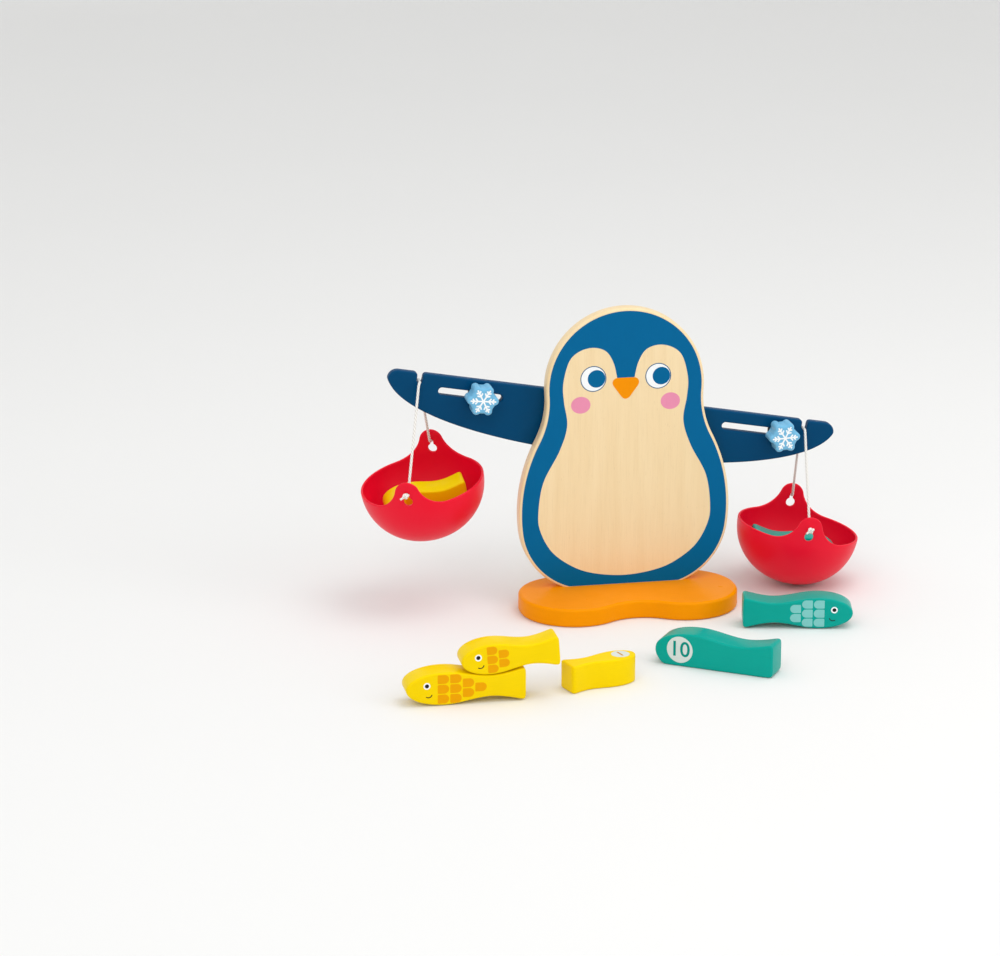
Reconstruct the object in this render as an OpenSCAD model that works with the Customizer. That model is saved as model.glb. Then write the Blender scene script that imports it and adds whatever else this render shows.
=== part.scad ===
// Wooden balance scale: a penguin board on two feet carries a tilting beam with two hanging
// buckets, two sliding counterweights and a set of ten numbered fish weights.
// Frame: +Z up, the penguin looks along -Y, the origin is on the table under the feet's centre.

/* [Feet] */
// Width of the feet plate from side to side
base_w = 180; // [150:1:220]
// Depth of the feet plate from front to back
base_d = 92; // [80:1:120]
// Thickness of the feet plate
base_h = 15; // [13:0.5:20]
// How far the front edge dips between the two feet
base_dip = 14; // [6:0.5:20]
// Radius of each foot's round end
foot_r = 44; // [40:0.5:46]

/* [Penguin board] */
// Thickness of the penguin board
board_t = 12; // [11:0.5:18]
// Height of the board above the feet
board_h = 232; // [215:1:260]
// Distance from the feet's front edge to the board's front face
board_setback = 61; // [50:0.5:66]
// Radius of the head
head_r = 65.3; // [60:0.1:70]
// Radius of the belly's lower corners
belly_r = 59; // [50:0.5:64]
// Sideways place of the belly corner's centre
belly_x = 28; // [22:0.5:34]
// Height of the belly corner's centre above the feet
belly_z = 54; // [44:0.5:58]
// Radius of the long curve up the side of the belly
flank_r = 132.7; // [110:0.1:160]
// Angle below level at which the belly corner meets the flank
flank_angle = 7; // [3:0.5:12]
// Radius of the hollow at the neck
neck_r = 72; // [50:1:100]
// Width of the tenon under the board
tenon_w = 60; // [40:1:80]
// Depth of the tenon in the feet
tenon_h = 9; // [6:0.5:10]
// Glue gap round the tenon and the pegs
glue_gap = 0.1; // [0.05:0.05:0.3]

/* [Screws] */
// Diameter of the screws through the feet
screw_d = 4; // [3:0.5:5]
// Length of the screws
screw_len = 28; // [22:1:36]
// Diameter of the screws' countersunk heads
screw_head_d = 8; // [7:0.5:10]
// Height of the screws' countersunk heads
screw_head_h = 2.4; // [2:0.1:3]
// Distance between the two screws
screw_pitch = 40; // [24:1:50]

/* [Pivot] */
// Height of the beam's pivot above the table
pivot_z = 197; // [180:1:210]
// Diameter of the pivot peg
pivot_d = 8; // [6:0.5:10]
// Depth of the pivot peg in the board
pivot_seat = 9; // [6:0.5:10]
// Radial running clearance of the beam on its peg
pivot_fit = 0.06; // [0.02:0.01:0.1]
// Diameter of the peg's round head
pivot_head_d = 18; // [14:0.5:24]
// Height of the peg's round head
pivot_head_h = 6; // [4:0.5:9]
// Diameter of the spacer washers at the pivot
washer_d = 22; // [18:0.5:28]
// Thickness of the spacer washer in front of the beam
front_washer_t = 2; // [1.5:0.1:4]
// Thickness of the washer behind the beam
rear_washer_t = 1.2; // [0.8:0.1:3]
// Side play between faces that move on each other
run_gap = 0.2; // [0.1:0.05:0.4]

/* [Beam] */
// Length of the beam from tip to tip
beam_len = 380; // [340:1:420]
// Depth of the beam at its middle, below the straight top edge
beam_depth = 50; // [44:0.5:60]
// Thickness of the beam
beam_t = 8; // [6:0.5:10]
// Fullness of the beam's curved lower edge, where 2 is an ellipse
beam_power = 2.2; // [1.9:0.05:2.6]
// Radius of the beam's upper tips
tip_r = 8; // [5:0.5:10]
// Height of the pivot above the beam's top edge
hub_rise = 28; // [22:0.5:34]
// Radius of the round hub at the pivot
hub_r = 20; // [16:0.5:26]
// Half length of the hump that carries the hub
hub_foot = 56; // [46:1:66]
// Tilt of the beam as it stands, right side down
tilt = 10; // [4:0.5:12]
// Distance of each hanging notch from the beam's middle
notch_at = 162.6; // [158:0.1:170]
// Width of the hanging notch
notch_w = 4.6; // [4:0.1:6]
// Depth of the hanging notch
notch_depth = 8.5; // [6:0.1:10]
// Distance from the middle to the near end of each slider slot
slot_in = 93; // [86:0.5:100]
// Distance from the middle to the far end of each slider slot
slot_out = 146; // [138:0.5:147]
// Width of the slider slots
slot_w = 6; // [5:0.1:8]
// Depth of the slots' centre line below the top edge
slot_drop = 12.8; // [11:0.1:16]

/* [Sliders] */
// Diameter of the snowflake knobs over their lobes
knob_d = 26; // [22:0.5:28]
// Thickness of the snowflake knobs
knob_t = 16; // [12:0.5:20]
// Radius of each of the six lobes
lobe_r = 3.4; // [2.8:0.1:5.4]
// Radius of the knob's body between the lobes
knob_core_r = 10.4; // [9:0.1:12.4]
// Play of the slide peg across its slot
slot_play = 0.2; // [0.1:0.05:0.3]
// Play of the knobs on their slide pegs
knob_fit = 0.1; // [0.05:0.05:0.3]
// Depth of the slide peg in its knob
slide_peg_seat = 10; // [7:0.5:12]
// Diameter of the slide peg's button at the back
button_d = 15; // [11:0.5:18]
// Thickness of the button
button_t = 5; // [3:0.5:7]
// Diameter of the felt washers on both sides of the beam
felt_d = 16; // [12:0.5:18]
// Thickness of the felt washers
felt_t = 1; // [0.6:0.1:2]
// Place of the left slider along its travel, from the near end (0) to the far end (1)
left_slide = 0.34; // [0.04:0.01:1]
// Place of the right slider along its travel, from the near end (0) to the far end (1)
right_slide = 1; // [0.04:0.01:1]
// Turn of the left knob
left_knob_turn = -5; // [-30:1:30]
// Turn of the right knob
right_knob_turn = -13; // [-30:1:30]

/* [Buckets] */
// Outside diameter of the buckets
bucket_d = 101; // [94:0.5:104]
// Wall of the buckets
bucket_wall = 2; // [1.6:0.1:3]
// Depth of the bowl below its rim
bowl_depth = 48; // [44:0.5:52]
// Fullness of the bowl's section, where 2 is an ellipse
bowl_power = 2.1; // [2:0.05:2.6]
// Radius of the small flat foot under the bowl
bowl_foot_r = 15; // [10:0.5:20]
// Height of the two ears above the rim
ear_rise = 22.5; // [20:0.5:26]
// Width of the ears
ear_w = 20; // [17:0.5:24]
// Radius of the sweep from the rim into the ears
ear_sweep_r = 22; // [16:0.5:26]
// Height of the cord's hole above the rim
hang_rise = 12.5; // [11:0.5:14]
// Diameter of the round part of the keyhole
key_d = 7.5; // [6:0.1:9]
// Distance from the cord's hole down to the round part
key_len = 6.5; // [5:0.1:8]
// Width of the keyhole's slot
key_slot_w = 3; // [2.8:0.1:4]
// Lean of the left bucket towards the front
left_pitch = 10; // [0:0.5:18]
// Roll of the left bucket, left side down
left_roll = -7.5; // [-12:0.1:0]
// Roll of the right bucket, right side down
right_roll = 10; // [0:0.5:12]
// Turn of the left bucket on its cord, front ear to the left
left_yaw = -21.5; // [-24:0.5:0]
// Turn of the right bucket on its cord, front ear to the left
right_yaw = -6.5; // [-24:0.5:0]

/* [Cords] */
// Diameter of the bucket cords
cord_d = 2.2; // [1.8:0.1:2.6]
// Height of the beam's notch above the line of the cord's holes
hang_drop = 72; // [70:0.5:80]
// Radius of the cord's bends
bend_r = 4.6; // [4.5:0.1:6]
// Diameter of the knots
knot_d = 6; // [5:0.1:7.5]

/* [Fish weights] */
// Length of the smallest fish
fish_len = 60; // [54:0.5:63]
// Length that each next fish gains
fish_len_step = 4.1; // [3.6:0.1:4.5]
// Height of the smallest fish
fish_h = 22; // [19:0.5:25]
// Height that each next fish gains
fish_h_step = 0.5; // [0.2:0.05:0.8]
// Thickness of every fish
fish_t = 22; // [16:0.5:23]
// Tilt of fish 5 on the back of fish 9
stack_tilt = 4; // [0:0.5:8]
// Clearance of a fish from what it lies on
lie_gap = 0.4; // [0.3:0.05:0.6]

/* [Hidden] */
$fn = 64;
// one overrun for all cuts
cut = 1;
arc_steps = 10;
edge_steps = 40;

// places along Y, from the front of the feet to the back
base_front = -base_d / 2;
board_y0 = base_front + board_setback;
board_y1 = board_y0 + board_t;
beam_y0 = board_y1 + front_washer_t + run_gap;
beam_y1 = beam_y0 + beam_t;
beam_mid = (beam_y0 + beam_y1) / 2;
rear_washer_y1 = beam_y1 + run_gap + rear_washer_t;

// front edge of the feet: a hollow arc that touches both feet
foot_c = [base_w / 2 - foot_r, base_front + foot_r];
dip_rise = (foot_c[0] * foot_c[0] - base_dip * base_dip) / (2 * base_dip);
dip_r = dip_rise - foot_r + base_dip;
dip_c = [0, foot_c[1] - dip_rise];
dip_angle = angle_of(foot_c - dip_c);

// outline of the board, as arcs that touch each other
head_c = [0, board_h - head_r];
belly_c = [belly_x, belly_z];
flank_c = belly_c + (flank_r - belly_r) * [-cos(flank_angle), sin(flank_angle)];
neck_c = outer_centre(flank_c, flank_r + neck_r, head_c, head_r + neck_r);
neck_to_flank = 360 + angle_of(flank_c - neck_c);
neck_to_head = angle_of(head_c - neck_c);
belly_start = -asin(belly_z / belly_r);

// hull of the beam
half_beam = beam_len / 2;
tip_c = [beam_edge_u(tip_r) - tip_r, -tip_r];
hub_c = [0, hub_rise];
hub_gap = norm([hub_foot, hub_rise]);
hub_angle = acos(hub_r / hub_gap) - atan2(hub_rise, hub_foot);

// travel of the slide pegs, and where the two sliders stand on it
slide_peg_d = slot_w - slot_play;
slide_in = slot_in + slot_w / 2 + 2 * slot_play;
slide_out = slot_out - slot_w / 2 - 2 * slot_play;
left_slider_at = slide_in + left_slide * (slide_out - slide_in);
right_slider_at = slide_in + right_slide * (slide_out - slide_in);

// bowl of the bucket, with its zero height at the line of the cord's holes
bucket_r = bucket_d / 2;
bowl_in_r = bucket_r - bucket_wall;
bowl_in_depth = bowl_depth - bucket_wall;
rim_z = -hang_rise;
ear_top = ear_rise - hang_rise;
ear_c = [0, ear_top - ear_w / 2];
ear_lean = asin((rim_z + ear_sweep_r - ear_c[1]) / (ear_w / 2 + ear_sweep_r));
sweep_c = ear_c + (ear_w / 2 + ear_sweep_r) * [cos(ear_lean), sin(ear_lean)];

// hanging points in the plane of the beam, where the cord crosses the notch
notch_floor = -hub_rise - notch_depth;
cord_seat_gap = 0.15;
hang_v = notch_floor + cord_d / 2 + cord_seat_gap;
left_hang = beam_point(-notch_at, hang_v);
right_hang = beam_point(notch_at, hang_v);
cord_flat = beam_t / 2 + bend_r / 5;
knot_y = bucket_r + knot_d / 2;
hole_y = bucket_r - bucket_wall / 2;
ear_bend_y = bowl_in_r - bend_r * 3 / 4;

// set of fish: the outline's turning points as shares of the length and of the height
fish_count = 10;
fish_deep_share = 0.32;
fish_waist_share = 0.72;
fish_waist_h_share = 0.64;
fish_tail_h_share = 1.03;
flat_head_share = 0.06;
flat_head_h_share = 0.2;
// floor places of the loose fish: number, X and Y as shares of the beam's length, and yaw
floor_shares = [
    [9, -0.453, -0.510, 0],
    [10, 0.094, -0.415, 146],
    [8, 0.325, -0.188, -12],
    [6, 0.030, 0.195, 176],
    [7, 0.040, 0.285, 4],
    [2, 0.035, 0.372, -3]
];
// the fish that lies on its side: its way from fish 9, as a share of the length of fish 9 along X
// and of the fish's thickness along Y, and its yaw
flat_fish_shares = [1.18, 0.6, 197];
// shift of fish 5 along fish 9, as a share of the length of fish 9
stack_shift_share = 0.37;
// fish 3 in the left bucket: its shift to the back as a share of its thickness, and its turn
bowl_fish_share = 0.27;
bowl_fish_yaw = 20;

// Plane geometry

function angle_of(v) = atan2(v[1], v[0]);
function clamp_unit(x) = max(-1, min(1, x));
function arc(c, r, a0, a1, steps) =
    [for (i = [0:steps]) c + r * [cos(a0 + (a1 - a0) * i / steps), sin(a0 + (a1 - a0) * i / steps)]];
function mirrored(points) = [for (i = [len(points) - 1:-1:0]) [-points[i][0], points[i][1]]];
// the right-hand point at distance ra from a and rb from b
function outer_centre(a, ra, b, rb) =
    let (d = norm(b - a), e = (b - a) / d, along = (ra * ra - rb * rb + d * d) / (2 * d))
    a + along * e + sqrt(ra * ra - along * along) * [e[1], -e[0]];
function dot2(a, b) = a[0] * b[0] + a[1] * b[1];

// Superellipse: how far out it reaches at a given depth, as a share of its half width
function reach_share(depth_share, power) =
    pow(max(0, 1 - pow(max(0, depth_share), power)), 1 / power);
function beam_edge_u(depth) = half_beam * reach_share(depth / beam_depth, beam_power);

// A point of the tilted beam, given along the beam and above the pivot
function beam_point(u, v) = [u * cos(tilt) + v * sin(tilt), beam_mid, pivot_z - u * sin(tilt) + v * cos(tilt)];

// Outlines

function board_half() = concat(
    arc(belly_c, belly_r, belly_start, -flank_angle, arc_steps),
    arc(flank_c, flank_r, -flank_angle, neck_to_flank - 180, arc_steps),
    arc(neck_c, neck_r, neck_to_flank, neck_to_head, arc_steps),
    arc(head_c, head_r, neck_to_head - 180, 90, 2 * arc_steps)
);

// from the middle of the front, through the dip and round the right foot, to the back
function feet_half() = concat(
    arc(dip_c, dip_r, 90, dip_angle, arc_steps),
    arc(foot_c, foot_r, dip_angle - 180, 0, 2 * arc_steps),
    arc([foot_c[0], -foot_c[1]], foot_r, 0, 90, 2 * arc_steps)
);

function beam_lower_edge() = [
    for (i = [0:edge_steps])
        let (a = 180 * i / edge_steps, c = cos(a))
        if (abs(c) < tip_c[0] / half_beam)
            [half_beam * sign(c) * pow(abs(c), 2 / beam_power), -beam_depth * pow(sin(a), 2 / beam_power)]
];

function beam_outline() = let (
    tip = arc(tip_c, tip_r, 90, 0, arc_steps),
    hub = arc(hub_c, hub_r, 180 - hub_angle, hub_angle, arc_steps)
) concat(mirrored(tip), [[-hub_foot, 0]], hub, [[hub_foot, 0]], tip, beam_lower_edge());

function bowl_side(r, depth) = [
    for (i = [0:arc_steps])
        let (d = sin(90 * i / arc_steps))
        [max(bowl_foot_r * r / bucket_r, r * reach_share(d, bowl_power)), rim_z - depth * d]
];

function ear_outline() = concat(
    arc(sweep_c, ear_sweep_r, 270, 180 + ear_lean, arc_steps),
    arc(ear_c, ear_w / 2, ear_lean, 90, arc_steps)
);

// Fish: half height along its length, as a share of its height, from the head (0) to the tail (1)
function ease(t) = (1 - cos(180 * t)) / 2;
function fish_swell(t) = 0.5 * (
    t < fish_deep_share ? sqrt(max(0, 1 - pow(1 - t / fish_deep_share, 2)))
    : t < fish_waist_share
        ? 1 - (1 - fish_waist_h_share) * ease((t - fish_deep_share) / (fish_waist_share - fish_deep_share))
        : fish_waist_h_share + (fish_tail_h_share - fish_waist_h_share)
            * pow((t - fish_waist_share) / (1 - fish_waist_share), 1.6)
);
function fish_length(n) = fish_len + fish_len_step * (n - 1);
function fish_height(n) = fish_h + fish_h_step * (n - 1);
function fish_foot(n) = fish_height(n) * fish_tail_h_share / 2;
function fish_steps() = [for (i = [0:edge_steps]) pow(i / edge_steps, 1.4)];
function fish_back(n) = [for (t = fish_steps()) [(t - 0.5) * fish_length(n), fish_height(n) * fish_swell(t)]];
function fish_belly(n) = n == fish_count
    ? [
        [fish_length(n) / 2, -fish_foot(n)],
        [(flat_head_share - 0.5) * fish_length(n), -fish_foot(n)],
        [-fish_length(n) / 2, -fish_height(n) * flat_head_h_share]
    ]
    : [for (i = [edge_steps:-1:1]) [fish_back(n)[i][0], -fish_back(n)[i][1]]];

// Height of fish 5 over fish 9: the least that keeps every point of its tilted belly clear
stack_shift = stack_shift_share * fish_length(9);
function turned(p, a) = [p[0] * cos(a) - p[1] * sin(a), p[0] * sin(a) + p[1] * cos(a)];
function back_of_9(x) = fish_height(9) * fish_swell(x / fish_length(9) + 0.5);
stack_rise = lie_gap + max([
    for (p = fish_belly(5))
        let (q = turned(p, stack_tilt) + [stack_shift, 0])
        if (abs(q[0]) < fish_length(9) / 2) back_of_9(q[0]) - q[1]
]);

// Depth under the rim at which a fish's lower corners meet the bowl
function bowl_seat(n, y0) =
    let (corner = norm([fish_length(n) / 2, abs(y0) + fish_t / 2]) + lie_gap)
    bowl_in_depth * reach_share(corner / bowl_in_r, bowl_power);

// Cord: a path of corners in the Y-Z plane, rounded and swayed along X, with rings carried along it

function unit(v) = v / norm(v);
function rounded_corner(a, b, c) = let (
    p = unit(a - b), q = unit(c - b),
    half = acos(clamp_unit(dot2(p, q))) / 2,
    mid = b + unit(p + q) * bend_r / sin(half),
    from = angle_of(b + p * bend_r / tan(half) - mid),
    swing = angle_of(b + q * bend_r / tan(half) - mid) - from,
    turn = swing > 180 ? swing - 360 : swing < -180 ? swing + 360 : swing
) arc(mid, bend_r, from, from + turn, 6);
function rounded_path(p) = concat(
    [p[0]],
    [for (i = [1:len(p) - 2]) each rounded_corner(p[i - 1], p[i], p[i + 1])],
    [p[len(p) - 1]]
);
function path_sides(p, i) = let (
    d = unit(p[min(i + 1, len(p) - 1)] - p[max(i - 1, 0)]),
    s = unit(cross([1, 0, 0], d))
) [s, cross(d, s)];

module tube(path, r, sides) {
    rings = len(path);
    points = [
        for (i = [0:rings - 1], k = [0:sides - 1])
            let (a = 360 * k / sides, s = path_sides(path, i))
            path[i] + r * (cos(a) * s[0] + sin(a) * s[1])
    ];
    walls = [
        for (i = [0:rings - 2], k = [0:sides - 1], half = [0, 1])
            let (n = (k + 1) % sides, a = i * sides, b = a + sides)
            half == 0 ? [a + k, b + k, b + n] : [a + k, b + n, a + n]
    ];
    ends = [
        for (k = [1:sides - 2], e = [0, 1])
            let (b = (rings - 1) * sides)
            e == 0 ? [0, k, k + 1] : [b, b + k + 1, b + k]
    ];
    polyhedron(points = points, faces = concat(walls, ends));
}

// Shapes that repeat

module plate_xz(y0, t) {
    translate([0, y0 + t, 0]) rotate([90, 0, 0]) linear_extrude(t) children();
}
module rod_y(d, y0, y1) {
    translate([0, y0, 0]) rotate([-90, 0, 0]) cylinder(d = d, h = y1 - y0);
}
module ring_y(d, bore, y0, t) {
    difference() {
        rod_y(d, y0, y0 + t);
        rod_y(bore, y0 - cut, y0 + t + cut);
    }
}
module on_beam() {
    translate([0, 0, pivot_z]) rotate([0, tilt, 0]) children();
}
module at_slider(u) {
    on_beam() translate([u, 0, -hub_rise - slot_drop]) children();
}
module at_bucket(hang, yaw, pitch, roll) {
    translate(hang - [0, 0, hang_drop]) rotate([pitch, 0, yaw]) rotate([0, roll, 0]) children();
}
module at_left_bucket() {
    at_bucket(left_hang, left_yaw, left_pitch, left_roll) children();
}
module at_right_bucket() {
    at_bucket(right_hang, right_yaw, 0, right_roll) children();
}

// Stand

module feet_outline() {
    half = feet_half();
    polygon(concat(half, mirrored(half)));
}

module screw_places() {
    for (s = [-1, 1]) translate([s * screw_pitch / 2, board_y0 + board_t / 2, 0]) children();
}
module screw_shape(d, head_d) {
    cylinder(d = d, h = screw_len);
    cylinder(d1 = head_d, d2 = d, h = screw_head_h);
}
module feet_base() {
    color("darkorange") difference() {
        linear_extrude(base_h) feet_outline();
        translate([-tenon_w / 2 - glue_gap, board_y0 - glue_gap, base_h - tenon_h - glue_gap])
            cube([tenon_w + 2 * glue_gap, board_t + 2 * glue_gap, tenon_h + glue_gap + cut]);
        screw_places() {
            screw_shape(screw_d + glue_gap, screw_head_d + glue_gap);
            translate([0, 0, -cut]) cylinder(d = screw_head_d + glue_gap, h = cut);
        }
    }
}
module penguin_board() {
    half = board_half();
    color("tan") difference() {
        union() {
            translate([0, 0, base_h]) plate_xz(board_y0, board_t) polygon(concat(half, mirrored(half)));
            translate([-tenon_w / 2, board_y0, base_h - tenon_h]) cube([tenon_w, board_t, tenon_h + cut]);
        }
        translate([0, 0, pivot_z]) rod_y(pivot_d + glue_gap, board_y1 - pivot_seat - glue_gap, board_y1 + cut);
        screw_places() cylinder(d = screw_d + glue_gap, h = screw_len + glue_gap);
    }
}
module base_screws() {
    color("silver") screw_places() screw_shape(screw_d, screw_head_d);
}
module pivot_peg() {
    head_y = rear_washer_y1 + run_gap;
    color("burlywood") translate([0, 0, pivot_z]) {
        rod_y(pivot_d, board_y1 - pivot_seat, head_y + cut);
        translate([0, head_y, 0]) rotate([-90, 0, 0]) dome(pivot_head_d, pivot_head_h);
    }
}
// a disc with a domed end
module dome(d, h) {
    ball_r = (d * d / 4 + h * h / 4) / h;
    cylinder(d = d, h = h / 2);
    intersection() {
        translate([0, 0, h - ball_r]) sphere(r = ball_r);
        cylinder(d = d, h = h + cut);
    }
}
module front_washer() {
    color("burlywood") translate([0, 0, pivot_z])
        ring_y(washer_d, pivot_d + glue_gap, board_y1, front_washer_t);
}
module rear_washer() {
    color("burlywood") translate([0, 0, pivot_z])
        ring_y(washer_d, pivot_d + glue_gap, beam_y1 + run_gap, rear_washer_t);
}

// Beam

module slot_cut(side) {
    for (u = [slot_in + slot_w / 2, slot_out - slot_w / 2])
        translate([side * u, 0, -hub_rise - slot_drop]) rod_y(slot_w, beam_y0 - cut, beam_y1 + cut);
    translate([side * (slot_in + slot_out) / 2 - (slot_out - slot_in - slot_w) / 2, beam_y0 - cut,
        -hub_rise - slot_drop - slot_w / 2])
        cube([slot_out - slot_in - slot_w, beam_t + 2 * cut, slot_w]);
}
module notch_cut(side) {
    translate([side * notch_at, 0, notch_floor + notch_w / 2]) rod_y(notch_w, beam_y0 - cut, beam_y1 + cut);
    translate([side * notch_at - notch_w / 2, beam_y0 - cut, notch_floor + notch_w / 2])
        cube([notch_w, beam_t + 2 * cut, notch_depth]);
}
module balance_beam() {
    color("steelblue") on_beam() difference() {
        translate([0, 0, -hub_rise]) plate_xz(beam_y0, beam_t) polygon(beam_outline());
        rod_y(pivot_d + 2 * pivot_fit, beam_y0 - cut, beam_y1 + cut);
        for (side = [-1, 1]) {
            slot_cut(side);
            notch_cut(side);
        }
    }
}

// Sliders

knob_y1 = beam_y0 - run_gap - felt_t;
button_y0 = beam_y1 + run_gap + felt_t;

module snowflake_knob(u, turn) {
    color("skyblue") at_slider(u) rotate([0, turn, 0]) difference() {
        plate_xz(knob_y1 - knob_t, knob_t) {
            circle(r = knob_core_r);
            for (i = [0:5]) rotate(60 * i) translate([knob_d / 2 - lobe_r, 0]) circle(r = lobe_r);
        }
        rod_y(slide_peg_d + knob_fit, knob_y1 - slide_peg_seat - glue_gap, knob_y1 + cut);
    }
}
module slide_peg(u) {
    color("burlywood") at_slider(u) {
        rod_y(slide_peg_d, knob_y1 - slide_peg_seat, button_y0 + cut);
        translate([0, button_y0, 0]) rotate([-90, 0, 0]) dome(button_d, button_t);
    }
}
module front_felt(u) {
    color("dimgray") at_slider(u) ring_y(felt_d, slide_peg_d + slot_play, knob_y1, felt_t);
}
module rear_felt(u) {
    color("dimgray") at_slider(u) ring_y(felt_d, slide_peg_d + slot_play, beam_y1 + run_gap, felt_t);
}

module left_snowflake_knob() { snowflake_knob(-left_slider_at, left_knob_turn); }
module left_slide_peg() { slide_peg(-left_slider_at); }
module left_front_felt() { front_felt(-left_slider_at); }
module left_rear_felt() { rear_felt(-left_slider_at); }
module right_snowflake_knob() { snowflake_knob(right_slider_at, right_knob_turn); }
module right_slide_peg() { slide_peg(right_slider_at); }
module right_front_felt() { front_felt(right_slider_at); }
module right_rear_felt() { rear_felt(right_slider_at); }

// Buckets and cords

module bucket() {
    side = concat([[bucket_r, ear_top + cut]], bowl_side(bucket_r, bowl_depth));
    inside = concat([[bowl_in_r, ear_top + 2 * cut]], bowl_side(bowl_in_r, bowl_in_depth));
    half = ear_outline();
    color("crimson") difference() {
        rotate_extrude() polygon(concat([[0, ear_top + cut]], side, [[0, rim_z - bowl_depth]]));
        rotate_extrude() polygon(concat([[0, ear_top + 2 * cut]], inside, [[0, rim_z - bowl_in_depth]]));
        plate_xz(-bucket_r - cut, bucket_d + 2 * cut) polygon(concat(
            [[bucket_r + cut, ear_top + 2 * cut], [bucket_r + cut, rim_z]],
            half,
            mirrored(half),
            [[-bucket_r - cut, rim_z], [-bucket_r - cut, ear_top + 2 * cut]]
        ));
        rod_y(key_slot_w, -bucket_r - cut, bucket_r + cut);
        translate([0, 0, -key_len]) rod_y(key_d, -bucket_r - cut, bucket_r + cut);
        translate([-key_slot_w / 2, -bucket_r - cut, -key_len]) cube([key_slot_w, bucket_d + 2 * cut, key_len]);
    }
}
module cord(hang, yaw, pitch) {
    drop = hang_drop * [0, 1];
    ear = [cos(yaw) * cos(pitch), sin(pitch)];
    sway = -hole_y * sin(yaw) * cos(pitch) / (hole_y * ear[0] - cord_flat);
    bend_out = cord_flat + bend_r * tan(notch_bend() / 2);
    flat_path = rounded_path([
        -knot_y * ear - drop, -ear_bend_y * ear - drop, [-bend_out, 0],
        [bend_out, 0], ear_bend_y * ear - drop, knot_y * ear - drop
    ]);
    path = [for (q = flat_path) [sign(q[0]) * max(0, abs(q[0]) - cord_flat) * sway, q[0], q[1]]];
    color("white") translate(hang) {
        tube(path, cord_d / 2, 8);
        for (end = [path[0], path[len(path) - 1]]) translate(end) sphere(d = knot_d, $fn = 32);
    }
}
// the angle by which each strand bends down from the notch, near enough for both buckets
function notch_bend() = atan2(hang_drop, ear_bend_y - cord_flat);

module left_bucket() { at_left_bucket() bucket(); }
module left_cord() { cord(left_hang, left_yaw, left_pitch); }
module right_bucket() { at_right_bucket() bucket(); }
module right_cord() { cord(right_hang, right_yaw, 0); }

// Fish weights: the face looks along -Y, with the head to the left on odd fish and right on even

module fish(n) {
    color(n % 2 == 1 ? "gold" : "lightseagreen") mirror([n % 2 == 1 ? 0 : 1, 0, 0])
        plate_xz(-fish_t / 2, fish_t) polygon(concat(fish_back(n), fish_belly(n)));
}
module floor_fish(n) {
    place = [for (p = floor_shares) if (p[0] == n) p][0];
    translate([place[1] * beam_len, place[2] * beam_len, fish_foot(n)]) rotate([0, 0, place[3]]) fish(n);
}
module bowl_fish(n, y0, yaw) {
    rotate([0, 0, yaw]) translate([0, y0, rim_z - bowl_seat(n, y0) + fish_foot(n)]) fish(n);
}

module fish_1() {
    place = floor_shares[0];
    way = [flat_fish_shares[0] * fish_length(9), flat_fish_shares[1] * fish_t];
    translate([place[1] * beam_len + way[0], place[2] * beam_len + way[1], fish_t / 2])
        rotate([0, 0, flat_fish_shares[2]]) rotate([90, 0, 0]) fish(1);
}
module fish_2() { floor_fish(2); }
module fish_3() { at_left_bucket() bowl_fish(3, bowl_fish_share * fish_t, bowl_fish_yaw); }
module fish_4() { at_right_bucket() bowl_fish(4, 0, 0); }
module fish_5() {
    place = floor_shares[0];
    translate([place[1] * beam_len + stack_shift, place[2] * beam_len, fish_foot(9) + stack_rise])
        rotate([0, -stack_tilt, 0]) fish(5);
}
module fish_6() { floor_fish(6); }
module fish_7() { floor_fish(7); }
module fish_8() { floor_fish(8); }
module fish_9() { floor_fish(9); }
module fish_10() { floor_fish(10); }

feet_base();
penguin_board();
base_screws();
pivot_peg();
front_washer();
rear_washer();
balance_beam();
left_snowflake_knob();
left_slide_peg();
left_front_felt();
left_rear_felt();
right_snowflake_knob();
right_slide_peg();
right_front_felt();
right_rear_felt();
left_bucket();
left_cord();
right_bucket();
right_cord();
fish_1();
fish_2();
fish_3();
fish_4();
fish_5();
fish_6();
fish_7();
fish_8();
fish_9();
fish_10();
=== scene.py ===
"""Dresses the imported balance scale: rounded and printed wood, moulded buckets, cords and a plain stage."""

import math

import bpy
import numpy as np
from mathutils import Matrix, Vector
from mathutils.geometry import tessellate_polygon


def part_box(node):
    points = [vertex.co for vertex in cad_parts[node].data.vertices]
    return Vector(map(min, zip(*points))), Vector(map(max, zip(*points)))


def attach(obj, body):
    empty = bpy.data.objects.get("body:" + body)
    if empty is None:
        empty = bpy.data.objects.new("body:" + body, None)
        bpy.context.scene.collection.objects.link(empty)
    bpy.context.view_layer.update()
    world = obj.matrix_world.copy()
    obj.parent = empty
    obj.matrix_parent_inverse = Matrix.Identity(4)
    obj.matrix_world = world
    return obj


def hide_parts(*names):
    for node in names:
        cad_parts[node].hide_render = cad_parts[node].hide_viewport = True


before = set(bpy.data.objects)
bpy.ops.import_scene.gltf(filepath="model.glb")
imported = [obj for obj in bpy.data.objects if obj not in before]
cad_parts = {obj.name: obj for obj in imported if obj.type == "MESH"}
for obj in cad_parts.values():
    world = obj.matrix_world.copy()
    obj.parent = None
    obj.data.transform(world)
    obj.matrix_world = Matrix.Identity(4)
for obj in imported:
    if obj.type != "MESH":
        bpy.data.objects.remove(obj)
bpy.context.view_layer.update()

bl_info = {
    "name": "Wooden balance scale",
    "version": (1, 0, 0),
    "blender": (4, 5, 0),
    "location": "3D View > Sidebar > Balance scale",
    "description": "Builds the painted and printed surfaces of a wooden balance scale on its CAD frame",
    "category": "Add Mesh",
}

# One millimetre in metres
MM = 0.001
# Width of the picture in pixels
FRAME_WIDTH = 1000
FISH = range(1, 11)
SIDES = ("left", "right")

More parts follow.
